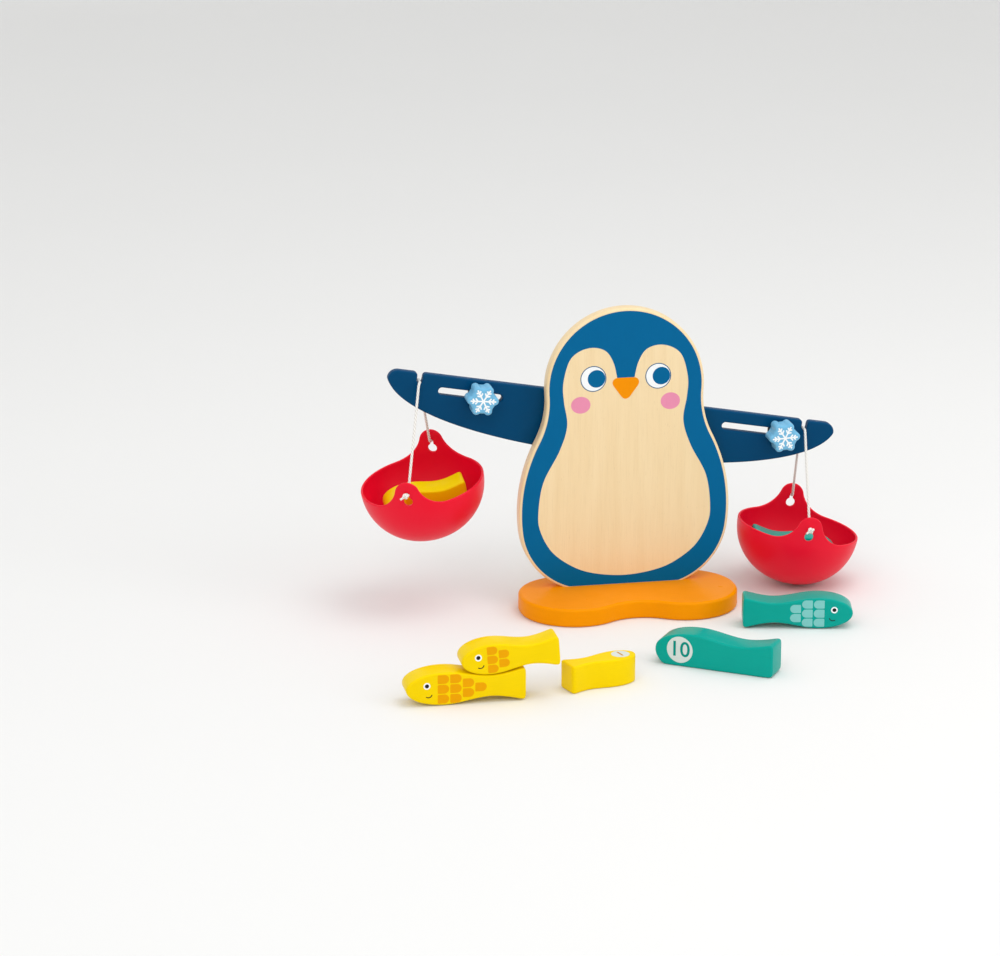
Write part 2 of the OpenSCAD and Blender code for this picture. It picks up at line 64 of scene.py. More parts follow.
# Spacing of the points along each outline
BOARD_STEP, FEET_STEP, BELLY_STEP, BEAK_STEP = 0.9 * MM, 0.9 * MM, 0.8 * MM, 0.3 * MM
BEAM_STEP, SLOT_STEP, KNOB_STEP, FISH_STEP, CORD_STEP = 0.7 * MM, 0.6 * MM, 0.5 * MM, 0.6 * MM, 0.4 * MM
# Faces that meet at less than this angle are shaded as one
SMOOTH = math.radians(38)
# How far a piece may lie off the CAD node that it stands for
STRAY = 6 * MM
# A printed layer reaches this far into the wood, and its edge is rounded by the second length
FILM_SINK, FILM_EDGE = 0.05 * MM, 0.02 * MM
# Cords: strands, sides of the cord and of its knots, and how deep the grooves are as a share of the radius
STRANDS, CORD_SIDES, KNOT_SIDES, CORD_GROOVE, KNOT_GROOVE = 3, 24, 14, 0.16, 0.12
# Clearance of a cord over the bottom of its notch
CORD_GAP = 0.15 * MM


# Properties: sizes in metres and colours in linear light


def linear(code):
    """An sRGB hex colour as linear RGBA, by the sRGB curve."""
    share = np.array([int(code[i : i + 2], 16) for i in (1, 3, 5)]) / 255
    light = np.where(share <= 0.04045, share / 12.92, ((share + 0.055) / 1.055) ** 2.4)
    return (*light.tolist(), 1.0)


def length(label, what, mm):
    """A length, given in millimetres and kept in metres."""
    return bpy.props.FloatProperty(name=label, description=what, default=mm * MM, unit="LENGTH", precision=5)


def angle(label, what, degrees):
    """An angle, given in degrees and kept in radians."""
    turned = math.radians(degrees)
    return bpy.props.FloatProperty(name=label, description=what, default=turned, unit="ROTATION")


def factor(label, what, share):
    """A plain number."""
    return bpy.props.FloatProperty(name=label, description=what, default=share)


def colour(label, what, code):
    """A colour, given as sRGB hex and kept in linear light."""
    return bpy.props.FloatVectorProperty(
        name=label, description=what, default=linear(code), size=4, min=0, max=1, subtype="COLOR"
    )


class StandSizes(bpy.types.PropertyGroup):
    base_w: length("Feet width", "Width of the feet plate from side to side", 180)
    base_d: length("Feet depth", "Depth of the feet plate from front to back", 92)
    base_h: length("Feet thickness", "Thickness of the feet plate", 15)
    base_dip: length("Feet dip", "How far the front edge dips between the feet", 14)
    foot_r: length("Foot radius", "Radius of each foot's round end", 44)
    base_edge: length("Feet edge", "Rounding of the feet plate's edges", 2.4)
    screw_pitch: length("Screw pitch", "Distance between the screws under the feet", 40)
    screw_pit_d: length("Screw pit", "Diameter of the countersinks under the feet", 8.4)
    screw_pit_h: length("Screw pit depth", "Depth of the countersinks under the feet", 2.6)
    board_h: length("Board height", "Height of the board above the feet", 232)
    head_r: length("Head radius", "Radius of the head", 65.3)
    belly_r: length("Belly radius", "Radius of the belly's lower corners", 59)
    belly_x: length("Belly place", "Sideways place of the belly corner's centre", 28)
    belly_z: length("Belly height", "Height of the belly corner's centre above the feet", 54)
    flank_r: length("Flank radius", "Radius of the long curve up the side of the belly", 132.7)
    flank_angle: angle("Flank angle", "Angle below level at which the belly corner meets the flank", 7)
    neck_r: length("Neck radius", "Radius of the hollow at the neck", 72)
    board_edge: length("Board edge", "Rounding of the board's edges", 2.1)
    board_sink: length("Board seat", "How far the board's dressed edge reaches down into the feet", 4)
    pivot_z: length("Pivot height", "Height of the beam's pivot above the table", 197)
    pivot_d: length("Pivot peg", "Diameter of the pivot peg's hole", 8.1)
    pivot_seat: length("Pivot seat", "Depth of the pivot peg in the board", 9.1)


class BeamSizes(bpy.types.PropertyGroup):
    beam_len: length("Beam length", "Length of the beam from tip to tip", 380)
    beam_depth: length("Beam depth", "Depth of the beam at its middle", 50)
    beam_power: factor("Beam fullness", "Fullness of the beam's lower edge, where 2 is an ellipse", 2.2)
    tip_r: length("Tip radius", "Radius of the beam's upper tips", 8)
    hub_rise: length("Hub rise", "Height of the pivot above the beam's top edge", 28)
    hub_r: length("Hub radius", "Radius of the round hub at the pivot", 20)
    hub_foot: length("Hub foot", "Half length of the hump that carries the hub", 56)
    tilt: angle("Tilt", "Tilt of the beam as it stands, right side down", 10)
    bore_d: length("Bore", "Diameter of the beam's bore on its peg", 8.12)
    notch_at: length("Notch place", "Distance of each hanging notch from the beam's middle", 162.6)
    notch_w: length("Notch width", "Width of the hanging notch", 4.6)
    notch_depth: length("Notch depth", "Depth of the hanging notch", 8.5)
    notch_lip: length("Notch lip", "Rounding of the notch's upper corners", 2.6)
    slot_in: length("Slot start", "Distance from the middle to the near end of each slot", 93)
    slot_out: length("Slot end", "Distance from the middle to the far end of each slot", 146)
    slot_w: length("Slot width", "Width of the slider slots", 6)
    slot_drop: length("Slot depth", "Depth of the slots' centre line below the top edge", 12.8)
    beam_edge: length("Beam edge", "Rounding of the beam's edges", 1.5)
    beam_soften: length("Beam softening", "Reach over which the beam's corners are softened", 0.7)
    knob_d: length("Knob diameter", "Diameter of the knobs over their points", 26)
    knob_core_r: length("Knob core", "Radius of the knob between its points", 10.4)
    lobe_r: length("Point radius", "Radius of each of the knob's six points", 3.4)
    lobe_blend: length("Point blend", "Reach over which the points blend into the core", 0.35)
    knob_soften: length("Knob softening", "Reach over which the knob's corners are softened", 0.5)
    knob_edge: length("Knob edge", "Rounding of the knobs' edges", 1.9)
    peg_d: length("Slide peg", "Diameter of the slide peg's hole", 5.9)
    peg_seat: length("Slide peg seat", "Depth of the slide peg in its knob", 10.1)
    left_slider_at: length("Left slider", "Distance of the left slider from the beam's middle", 112.108)
    right_slider_at: length("Right slider", "Distance of the right slider from the beam's middle", 142.6)
    left_knob_turn: angle("Left knob turn", "Turn of the left knob", -5)
    right_knob_turn: angle("Right knob turn", "Turn of the right knob", -13)


class BucketSizes(bpy.types.PropertyGroup):
    bucket_d: length("Bucket diameter", "Outside diameter of the buckets", 101)
    wall: length("Wall", "Wall of the buckets", 2)
    bowl_depth: length("Bowl depth", "Depth of the bowl below its rim", 48)
    bowl_power: factor("Bowl fullness", "Fullness of the bowl's section, where 2 is an ellipse", 2.1)
    ear_rise: length("Ear height", "Height of the two ears above the rim", 22.5)
    ear_w: length("Ear width", "Width of the ears", 20)
    ear_sweep_r: length("Ear sweep", "Radius of the sweep from the rim into the ears", 22)
    hang_rise: length("Hole height", "Height of the cord's hole above the rim", 12.5)
    key_d: length("Keyhole", "Diameter of the round part of the keyhole", 7.5)
    key_len: length("Keyhole length", "Distance from the cord's hole down to the round part", 6.5)
    key_slot_w: length("Keyhole slot", "Width of the keyhole's slot", 3)
    left_pitch: angle("Left lean", "Lean of the left bucket towards the front", 10)
    left_roll: angle("Left roll", "Roll of the left bucket, left side down", -7.5)
    right_roll: angle("Right roll", "Roll of the right bucket, right side down", 10)
    left_yaw: angle("Left turn", "Turn of the left bucket on its cord, front ear to the left", -21.5)
    right_yaw: angle("Right turn", "Turn of the right bucket on its cord, front ear to the left", -6.5)
    hang_drop: length("Cord drop", "Height of the notch above the line of the cord's holes", 72)
    cord_d: length("Cord", "Diameter of the cords", 2.2)
    cord_lay: length("Cord lay", "Length of one twist of the cord's strands", 9)
    bend_r: length("Cord bend", "Radius of the cord's bends", 4.6)
    knot_d: length("Knot", "Diameter of the knots", 6)
    tail: length("Knot tail", "Length of the loose end past a knot", 5)


class FishSizes(bpy.types.PropertyGroup):
    fish_len: length("Length", "Length of the smallest fish", 60)
    fish_len_step: length("Length step", "Length that each next fish gains", 4.1)
    fish_h: length("Height", "Height of the smallest fish", 22)
    fish_h_step: length("Height step", "Height that each next fish gains", 0.5)
    fish_t: length("Thickness", "Thickness of every fish", 22)
    fish_edge: length("Edge", "Rounding of the fishes' edges", 1.6)
    soften: length("Corner softening", "Reach over which the outline's corners are softened", 2.8)
    stack_tilt: angle("Stack tilt", "Tilt of fish 5 on the back of fish 9", 4)
    lie_gap: length("Clearance", "Clearance of a fish from what it lies on", 0.4)
    disc_d: length("Number disc", "Diameter of the number's disc on the smallest fish", 14.3)
    disc_step: length("Number disc step", "Diameter that each next disc gains", 0.78)


class PrintSizes(bpy.types.PropertyGroup):
    ink: length("Ink", "Height of the printed ink over the wood", 0.06)
    coat_rim: length("Rim", "Bare rim round the printed coat", 2.3)
    eye_x: length("Eye place", "Distance of each eye from the middle", 26.8)
    eye_z: length("Eye height", "Height of the eyes above the feet", 174.6)
    eye_r: length("Eye", "Radius of the eyes", 10.7)
    eye_ring: length("Eye ring", "Width of the dark ring round the eyes", 0.7)
    pupil_r: length("Pupil", "Radius of the pupils", 7.3)
    pupil_x: length("Pupil shift", "Sideways shift of the pupils", 2.6)
    cheek_x: length("Cheek place", "Distance of each cheek from the middle", 37.1)
    cheek_z: length("Cheek height", "Height of the cheeks above the feet", 153.2)
    cheek_w: length("Cheek width", "Half width of the cheeks", 8)
    cheek_h: length("Cheek height", "Half height of the cheeks", 7)
    beak_w: length("Beak width", "Half width of the beak's triangle before its corners are rounded", 15)
    beak_top: length("Beak top", "Height of the beak's top above the feet", 174.5)
    beak_tip: length("Beak tip", "Height of the tip of the beak's triangle above the feet", 153.8)
    beak_r: length("Beak corners", "Radius of the beak's corners", 4)
    beak_soften: length("Beak softening", "Reach over which the beak's edge is softened", 1.2)
    fish_eye_r: length("Fish eye", "Radius of a fish's eye", 2.7)
    fish_pupil_r: length("Fish pupil", "Radius of a fish's pupil", 1.6)
    smile_x: length("Smile place", "Distance of a fish's smile behind its eye", 2)
    smile_w: length("Smile width", "Half width of a fish's smile", 2.4)
    smile_line: length("Smile line", "Width of the smile's line", 0.75)
    flake_r: length("Snowflake", "Reach of the snowflake's arms", 10.5)
    flake_w: length("Snowflake line", "Width of the snowflake's lines", 1.25)


class Colours(bpy.types.PropertyGroup):
    wood: colour("Wood", "Clear-lacquered pale wood", "#F1D9AE")
    wood_dark: colour("Wood figure", "Darker figure of the wood", "#E7CA98")
    feet: colour("Feet", "Orange paint of the feet", "#F39400")
    coat: colour("Coat", "Printed blue coat", "#006294")
    beam: colour("Beam", "Deep blue paint of the beam", "#00436C")
    knob: colour("Knob", "Light blue paint of the knobs", "#74B7DC")
    snow: colour("Snowflake", "White print on the knobs", "#F4F8FA")
    bucket: colour("Bucket", "Red plastic of the buckets", "#EC062C")
    cord: colour("Cord", "White cotton cord", "#F3F0EA")
    felt: colour("Felt", "Grey felt", "#5A5D61")
    yellow: colour("Odd fish", "Yellow paint of the odd fish", "#F4D200")
    yellow_print: colour("Odd scales", "Orange print on the odd fish", "#EAA300")
    teal: colour("Even fish", "Teal paint of the even fish", "#04A193")
    teal_print: colour("Even scales", "Pale print on the even fish", "#80C8C3")
    disc: colour("Number disc", "Pale disc behind the numbers", "#D5DEDA")
    eye_white: colour("Eye white", "White of the eyes", "#F2F5F7")
    line: colour("Line", "Dark print of pupils and smiles", "#23201E")
    beak: colour("Beak", "Orange print of the beak", "#F09000")
    cheek: colour("Cheek", "Pink print of the cheeks", "#E68FAE")
    floor: colour("Floor", "Pale floor and backdrop", "#ECECEB")


class StageSizes(bpy.types.PropertyGroup):
    azimuth: angle("Azimuth", "Camera's turn to the right of the front", -11)
    elevation: angle("Elevation", "Camera's height over the horizon", 16.5)
    distance: length("Distance", "Camera's distance", 3000)
    lens_px: factor("Lens", "Focal length in pixels of the picture", 3700)
    aim_right: length("Aim right", "Shift of the aim to the right, seen by the camera", -101.5)
    aim_up: length("Aim up", "Shift of the aim upwards, seen by the camera", -24)
    aim_z: length("Aim height", "Height of the aim before its shift", 130)
    sky: factor("Sky", "Strength of the even light from all round", 0.86)


# Plane outlines


def arc(centre, radius, start, end, count):
    """Circle arc: the centre plus the radius times (cos, sin) of evenly spaced angles in radians."""
    a = np.linspace(start, end, count)
    return np.column_stack([centre[0] + radius * np.cos(a), centre[1] + radius * np.sin(a)])


def oval(centre, half_w, half_h, count=64):
    """Ellipse: the centre plus (half width times cos, half height times sin) of a full turn."""
    a = np.linspace(0, 2 * np.pi, count, endpoint=False)
    return np.column_stack([centre[0] + half_w * np.cos(a), centre[1] + half_h * np.sin(a)])


def disc(centre, radius, count=64):
    """Circle: an ellipse whose halves are alike."""
    return oval(centre, radius, radius, count)


def area(loop):
    """Signed area: half the sum of the cross products of neighbouring points."""
    x, y = loop.T
    return 0.5 * float(np.sum(x * np.roll(y, -1) - y * np.roll(x, -1)))


def wound(loop, left=True):
    """The loop anticlockwise for an outer edge, or clockwise for a hole."""
    return loop if (area(loop) > 0) == left else loop[::-1]


def trace(loop, step, soften=0.0):
    """A closed outline at even steps. Each point is the bell-weighted mean of its neighbours along it."""
    ring = np.vstack([loop, loop[:1]])
    run = np.concatenate([[0.0], np.cumsum(np.hypot(*np.diff(ring, axis=0).T))])
    count = int(round(run[-1] / step))
    at = np.linspace(0, run[-1], count, endpoint=False)
    even = np.column_stack([np.interp(at, run, ring[:, k]) for k in (0, 1)])
    if not soften:
        return even
    k = np.arange(count)
    bell = np.exp(-0.5 * (np.minimum(k, count - k) * step / soften) ** 2)
    smooth = np.fft.ifft(np.fft.fft(even, axis=0) * np.fft.fft(bell / bell.sum())[:, None], axis=0)
    return smooth.real


def corner_arc(before, here, after, radius, steps):
    """Rounded corner: the arc of that radius that touches both edges which meet in the middle point."""
    p = (before - here) / np.hypot(*(before - here))
    q = (after - here) / np.hypot(*(after - here))
    half = math.acos(np.clip(p @ q, -1, 1)) / 2
    middle = here + (p + q) / np.hypot(*(p + q)) * radius / math.sin(half)
    start = here + p * radius / math.tan(half) - middle
    end = here + q * radius / math.tan(half) - middle
    a = math.atan2(start[1], start[0])
    swing = (math.atan2(end[1], end[0]) - a + math.pi) % (2 * math.pi) - math.pi
    return arc(middle, radius, a, a + swing, steps)


def rounded(corners, radius, steps=7):
    """A polygon whose every corner is such an arc."""
    trios = zip(np.roll(corners, 1, 0), corners, np.roll(corners, -1, 0))
    return np.vstack([corner_arc(*trio, radius, steps) for trio in trios])


def curve_through(knots, per_span=12):
    """Catmull-Rom curve: between two knots, a cubic whose end slopes are half the way between
    neighbours."""
    p = np.vstack([2 * knots[0] - knots[1], knots, 2 * knots[-1] - knots[-2]])
    t = np.linspace(0, 1, per_span, endpoint=False)[None, :, None]
    a, b, c, d = (p[i : len(p) - 3 + i, None, :] for i in range(4))
    spans = 0.5 * (2 * b + (c - a) * t + (2 * a - 5 * b + 4 * c - d) * t**2 + (3 * b - a - 3 * c + d) * t**3)
    return np.vstack([spans.reshape(-1, 2), knots[-1:]])


def both_halves(half):
    """The right half of an outline, from bottom to top, closed by its mirror image."""
    return np.vstack([half, half[::-1] * (-1, 1)])


# Solids from outlines


def turn(axis, a):
    """Rotation matrix about X, Y or Z, right-handed, for an angle in radians."""
    i, j = {"X": (1, 2), "Y": (2, 0), "Z": (0, 1)}[axis]
    m = np.eye(3)
    m[i, i] = m[j, j] = math.cos(a)
    m[j, i], m[i, j] = math.sin(a), -math.sin(a)
    return m


def pose(axes, place):
    """The four by four matrix of a rotation and a place."""
    return Matrix([[*row, at] for row, at in zip(axes, place)] + [[0, 0, 0, 1]])


def grid_faces(index, closed=True):
    """Quads between neighbouring rows of a grid of point numbers, closed round each row or left open."""
    ahead = np.roll(index, -1, 1)
    quads = np.stack([index[:-1], index[1:], ahead[1:], ahead[:-1]], -1)
    return (quads if closed else quads[:, :-1]).reshape(-1, 4)


def cap_faces(points, loops, towards_front):
    """Triangles that fill a flat face between its outer loop and its holes, turned to face the asked
    way."""
    order = np.concatenate(loops)
    flat = [np.pad(points[loop, :2], ((0, 0), (0, 1))).tolist() for loop in loops]
    corners = order[np.array(tessellate_polygon(flat))]
    a, b, c = (points[corners[:, k], :2] for k in range(3))
    left = np.cross(b - a, c - a) > 0
    corners[left != towards_front] = corners[left != towards_front][:, ::-1]
    return corners


def inward(loop):
    """Mitred normals to the left of travel: both edges' unit normals summed, over one plus their
    product."""
    edge = np.roll(loop, -1, 0) - loop
    edge /= np.hypot(*edge.T)[:, None]
    after = np.column_stack([-edge[:, 1], edge[:, 0]])
    before = np.roll(after, 1, 0)
    return (before + after) / (1 + np.sum(before * after, 1))[:, None]


def slab(loops, thickness, edge, steps=6, flat=0.4 * MM, pits=()):
    """A plate with rounded edges: each outline is carried along a profile that is a quarter circle at the
    front, a straight wall and a quarter circle at the back, and flat caps close both faces. Points are
    (u, v, w), with w from 0 at the front face to the thickness at the back. Pits are (outline, depth) holes
    in the back face."""
    a = np.linspace(0, np.pi / 2, steps + 1)
    inset, depth = edge * (1 - np.sin(a)), edge * (1 - np.cos(a))
    inset = np.concatenate([[edge + flat], inset, inset[::-1], [edge + flat]])
    depth = np.concatenate([[0], depth, thickness - depth[::-1], [thickness]])
    points, quads, front, back, first = [], [], [], [], 0
    for loop in loops:
        rings = loop[None] + inward(loop)[None] * inset[:, None, None]
        points.append(np.dstack([rings, np.broadcast_to(depth[:, None], rings.shape[:2])]).reshape(-1, 3))
        index = first + np.arange(rings.shape[0] * rings.shape[1]).reshape(rings.shape[:2])
        quads.append(grid_faces(index))
        front.append(index[0])
        back.append(index[-1])
        first += index.size
    floors = []
    for loop, pit in pits:
        n = len(loop)
        points.append(np.column_stack([np.tile(loop, (2, 1)), np.repeat([thickness - pit, thickness], n)]))
        index = first + np.arange(2 * n).reshape(2, n)
        quads.append(grid_faces(index))
        back.append(index[1])
        floors.append(index[0])
        first += 2 * n
    points = np.vstack(points)
    tris = [cap_faces(points, front, True), cap_faces(points, back, False)]
    tris += [cap_faces(points, [floor], False) for floor in floors]
    return points, np.vstack(quads), np.vstack(tris)


def twisted(line, way, towards, radius, groove, twist, sides):
    """Rings of points round a line: across and over are at right angles to the way, and the radius shrinks
    by the groove between the strands, which turn by the twist. Also gives how high each point is on its
    strand, from 0 in the groove to 1 on the crest, and the rings' angles."""
    way = way / np.linalg.norm(way, axis=1)[:, None]
    across = np.cross(way, towards)
    across /= np.linalg.norm(across, axis=1)[:, None]
    over = np.cross(across, way)
    a = np.linspace(0, 2 * np.pi, sides, endpoint=False)
    wave = 0.5 + 0.5 * np.cos(STRANDS * a - twist[:, None])
    r = (radius * (1 - groove * (1 - wave)))[..., None]
    out = np.cos(a)[:, None] * across[:, None] + np.sin(a)[:, None] * over[:, None]
    return line[:, None] + r * out, wave, a


def tube(path, radius, sides, side_axis, lay):
    """Twisted cord: rings carried along a path that lies in a plane, closed at both ends. The strands turn
    once in each lay. Its lie is how far along, how far round and how high on its strand each point is."""
    run = np.concatenate([[0.0], np.cumsum(np.linalg.norm(np.diff(path, axis=0), axis=1))])
    twist = 2 * np.pi * STRANDS * run / lay
    rings, wave, a = twisted(path, np.gradient(path, axis=0), side_axis, radius, CORD_GROOVE, twist, sides)
    count = rings.shape[0] * sides
    points = np.vstack([rings.reshape(-1, 3), path[:1], path[-1:]])
    index = np.arange(count).reshape(-1, sides)
    start = np.column_stack([np.full(sides, count), index[0], np.roll(index[0], -1)])
    end = np.column_stack([np.full(sides, count + 1), np.roll(index[-1], -1), index[-1]])
    lie = np.column_stack([np.repeat(run, sides), np.tile(a, len(run)) * radius, wave.ravel()])
    lie = np.vstack([lie, [[0, 0, 0], [run[-1], 0, 0]]])
    return points, grid_faces(index), np.vstack([start, end]), lie


def ball_of_cord(centre, reach, radius, turned):
    """Knot: a cord along the trefoil (sin t + 2 sin 2t, cos t - 2 cos 2t, -1.3 sin 3t), whose widest turns
    are 3 across, shrunk to its reach so that its turns lie tight."""
    t = np.linspace(0, 2 * np.pi, 96, endpoint=False)
    x, y, z = np.sin(t) + 2 * np.sin(2 * t), np.cos(t) - 2 * np.cos(2 * t), -1.3 * np.sin(3 * t)
    scale = reach / 3
    line = centre + scale * np.column_stack([x, y, z]) @ turned.T
    way = np.roll(line, -1, 0) - np.roll(line, 1, 0)
    rings, wave, a = twisted(line, way, line - centre, radius, KNOT_GROOVE, 4 * STRANDS * t, KNOT_SIDES)
    index = np.arange(rings.shape[0] * KNOT_SIDES).reshape(-1, KNOT_SIDES)
    index = np.vstack([index, index[:1]])
    lie = np.column_stack([np.repeat(t * scale, KNOT_SIDES), np.tile(a, len(t)) * radius, wave.ravel()])
    return rings.reshape(-1, 3), grid_faces(index), np.empty((0, 3), int), lie


def set_on(points, origin, across, up):
    """Places (u, v, w) points: the origin plus u along across, v along up and w away from the viewer."""
    axes = np.array([across, up, np.cross(up, across)])
    return np.asarray(origin) + points @ axes


# Pieces


def make_piece(name, shapes, body, node=None):
    """One mesh object from shapes of (points, quads, triangles, lie, material), riding on a body. The
    attribute lie keeps each point's place on the piece as it was made, so that grain follows the piece
    however it lies."""
    points, lies, faces, which, finishes, first = [], [], [], [], [], 0
    for place, quads, tris, lie, finish in shapes:
        points.append(place)
        lies.append(lie)
        faces += (quads + first).tolist() + (tris + first).tolist()
        if finish not in finishes:
            finishes.append(finish)
        which += [finishes.index(finish)] * (len(quads) + len(tris))
        first += len(place)
    points = np.vstack(points)
    mesh = bpy.data.meshes.new(name)
    mesh.from_pydata(points.tolist(), [], faces)
    for finish in finishes:
        mesh.materials.append(finish)
    mesh.polygons.foreach_set("material_index", np.array(which, np.int32))
    mesh.polygons.foreach_set("use_smooth", np.ones(len(faces), bool))
    kept = mesh.attributes.new("lie", "FLOAT_VECTOR", "POINT")
    kept.data.foreach_set("vector", np.vstack(lies).astype(np.float32).ravel())
    mesh.set_sharp_from_angle(angle=SMOOTH)
    mesh.update()
    piece = bpy.data.objects.new(name, mesh)
    bpy.context.scene.collection.objects.link(piece)
    return settle(piece, body, node)


def settle(piece, body, node=None):
    """Ties a piece to its body and CAD node, and stops if it doesn't lie where that node is."""
    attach(piece, body)
    if node:
        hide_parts(node)
        spots = np.empty(3 * len(piece.data.vertices))
        piece.data.vertices.foreach_get("co", spots)
        spots = spots.reshape(-1, 3)
        off = np.abs(np.array([spots.min(0), spots.max(0)]) - np.array(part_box(node))).max()
        if off > STRAY:
            raise RuntimeError(f"{piece.name} lies {off / MM:.1f} mm off its CAD node {node}")
    return piece


def lay_plate(name, solid, seat, finish, body, node):
    """One piece from a flat solid, set on its seat of (origin, across, up)."""
    points, quads, tris = solid
    return make_piece(name, [(set_on(points, *seat), quads, tris, points, finish)], body, node)


def film(loops, proud):
    """A printed layer: a plate that stands proud of the wood by the ink's height and is sunk into its
    face."""
    points, quads, tris = slab(loops, proud + FILM_SINK, FILM_EDGE, steps=1, flat=FILM_EDGE)
    return points - [0, 0, proud], quads, tris


def printed(layers, seat):
    """Places printed layers of (loops, height, material) on a flat face, whose seat is (origin, across,
    up)."""
    shapes = []
    for loops, proud, finish in layers:
        points, quads, tris = film(loops, proud)
        shapes.append((set_on(points, *seat), quads, tris, points, finish))
    return shapes


# Materials


def add(tree, kind, links=None, **settings):
    """Adds a node with its settings, and sets or links each named socket."""
    made = tree.nodes.new(kind)
    for key, value in settings.items():
        setattr(made, key, value)
    for socket, value in (links or {}).items():
        if isinstance(value, bpy.types.NodeSocket):
            tree.links.new(value, made.inputs[socket])
        else:
            made.inputs[socket].default_value = value
    return made


def shade(code, share):
    """A colour made darker by a share of itself."""
    return (*(c * share for c in tuple(code)[:3]), 1.0)


def grain(along, across, long):
    """Grain width across the fibres and length along them, as sizes on the three axes."""
    return [long if axis == along else across for axis in "UVW"]


def surface(name, tint, layers, sockets, rough=None, relief=None, lie=True):
    """A finish of one colour with layers of grain over it. A layer is (grain size on each axis, or nothing
    for the height kept in lie; detail; roughness of its noise; two levels; share; colour): from the first
    level to the second, its colour comes in up to that share. Gloss follows one layer as (layer, low,
    high), and relief another as (layer, depth, strength). Sockets are the shader's own values."""
    finish = bpy.data.materials.new(name)
    finish.use_nodes = True
    tree = finish.node_tree
    tree.nodes.clear()
    skin = add(tree, "ShaderNodeBsdfPrincipled", sockets)
    add(tree, "ShaderNodeOutputMaterial", {"Surface": skin.outputs["BSDF"]})
    if lie:
        place = add(tree, "ShaderNodeAttribute", attribute_name="lie").outputs["Vector"]
    else:
        place = add(tree, "ShaderNodeTexCoord").outputs["Object"]
    base, values = tuple(tint), []
    for size, detail, grit, (low, high), share, tone in layers:
        if size:
            scaled = add(tree, "ShaderNodeMapping", {"Vector": place, "Scale": [1 / s for s in size]})
            noise = {"Vector": scaled.outputs["Vector"], "Scale": 1.0, "Detail": detail, "Roughness": grit}
            value = add(tree, "ShaderNodeTexNoise", noise).outputs["Fac"]
        else:
            value = add(tree, "ShaderNodeSeparateXYZ", {"Vector": place}).outputs["Z"]
        span = {"Value": value, "From Min": low, "From Max": high, "To Min": 0.0, "To Max": share}
        amount = add(tree, "ShaderNodeMapRange", span).outputs["Result"]
        base = add(tree, "ShaderNodeMix", {0: amount, 6: base, 7: tuple(tone)}, data_type="RGBA").outputs[2]
        values.append(value)
    tree.links.new(base, skin.inputs["Base Color"])
    if rough:
        layer, low, high = rough
        least, most = 0.2, 0.8
        span = {"Value": values[layer], "From Min": least, "From Max": most, "To Min": low, "To Max": high}
        tree.links.new(add(tree, "ShaderNodeMapRange", span).outputs["Result"], skin.inputs["Roughness"])
    if relief:
        layer, depth, strength = relief
        bump = add(tree, "ShaderNodeBump", {"Height": values[layer], "Distance": depth, "Strength": strength})
        tree.links.new(bump.outputs["Normal"], skin.inputs["Normal"])
    return finish


def lacquered_wood(name, pale, dark, along, lie=True):
    """Clear-lacquered beech-like wood, sanded and sealed: pale, with a soft long figure about 9 mm wide,
    fine fibres and short dark flecks along the grain, under an even satin film."""
    layers = [
        (grain(along, 9 * MM, 150 * MM), 2.0, 0.55, (0.3, 0.75), 0.55, dark),
        (grain(along, 0.9 * MM, 30 * MM), 4.0, 0.65, (0.5, 0.8), 0.4, shade(dark, 0.88)),
        (grain(along, 0.7 * MM, 5 * MM), 1.0, 0.55, (0.68, 0.8), 0.35, shade(dark, 0.7)),
    ]
    lacquer = {"Specular IOR Level": 0.25, "Coat Weight": 0.08, "Coat Roughness": 0.2}
    return surface(name, pale, layers, lacquer, (1, 0.34, 0.48), (1, 0.06 * MM, 0.35), lie)


def painted_wood(name, paint, along, gloss, coat):
    """Paint sprayed on sanded wood: an even colour with faint cloudy unevenness, the wood's fibres just
    showing through as fine ridges along the grain, and a thin smooth top coat that gleams at a low
    angle."""
    layers = [
        ([16 * MM] * 3, 2.0, 0.55, (0.3, 0.7), 0.5, shade(paint, 0.94)),
        (grain(along, 0.8 * MM, 14 * MM), 3.0, 0.6, (0.52, 0.8), 0.5, shade(paint, 0.88)),
    ]
    top_coat = {"Specular IOR Level": 0.03, "Coat Weight": coat, "Coat IOR": 1.25, "Coat Roughness": 0.15}
    return surface(name, paint, layers, top_coat, (0, gloss - 0.05, gloss + 0.07), (1, 0.05 * MM, 0.3))


def screen_ink(name, ink, along="V"):
    """Screen-printed ink on wood: opaque flat colour, a little dry where the grain rises under it,
    satin."""
    layers = [
        ([12 * MM] * 3, 2.0, 0.55, (0.3, 0.7), 0.5, shade(ink, 0.95)),
        (grain(along, 0.8 * MM, 22 * MM), 3.0, 0.6, (0.5, 0.8), 0.35, shade(ink, 0.86)),
    ]
    return surface(name, ink, layers, {"Specular IOR Level": 0.06}, (1, 0.36, 0.5), (1, 0.04 * MM, 0.3))


def moulded_polypropylene(name, tint):
    """Injection-moulded polypropylene: saturated, slightly waxy, with a soft gloss and a faint ripple where
    the melt cooled, drawn coarser than the real one so that it shows."""
    layers = [
        ([26 * MM, 26 * MM, 12 * MM], 2.0, 0.55, (0.3, 0.7), 0.6, shade(tint, 0.94)),
        ([1.6 * MM] * 3, 1.0, 0.55, (0.5, 0.8), 0.2, shade(tint, 0.94)),
    ]
    wax = {
        "Specular IOR Level": 0.2,
        "Subsurface Weight": 0.06,
        "Subsurface Radius": (1.5 * MM, 0.5 * MM, 0.4 * MM),
        "Subsurface Scale": 1.0,
    }
    return surface(name, tint, layers, wax, (0, 0.33, 0.43), (1, 0.03 * MM, 0.25))


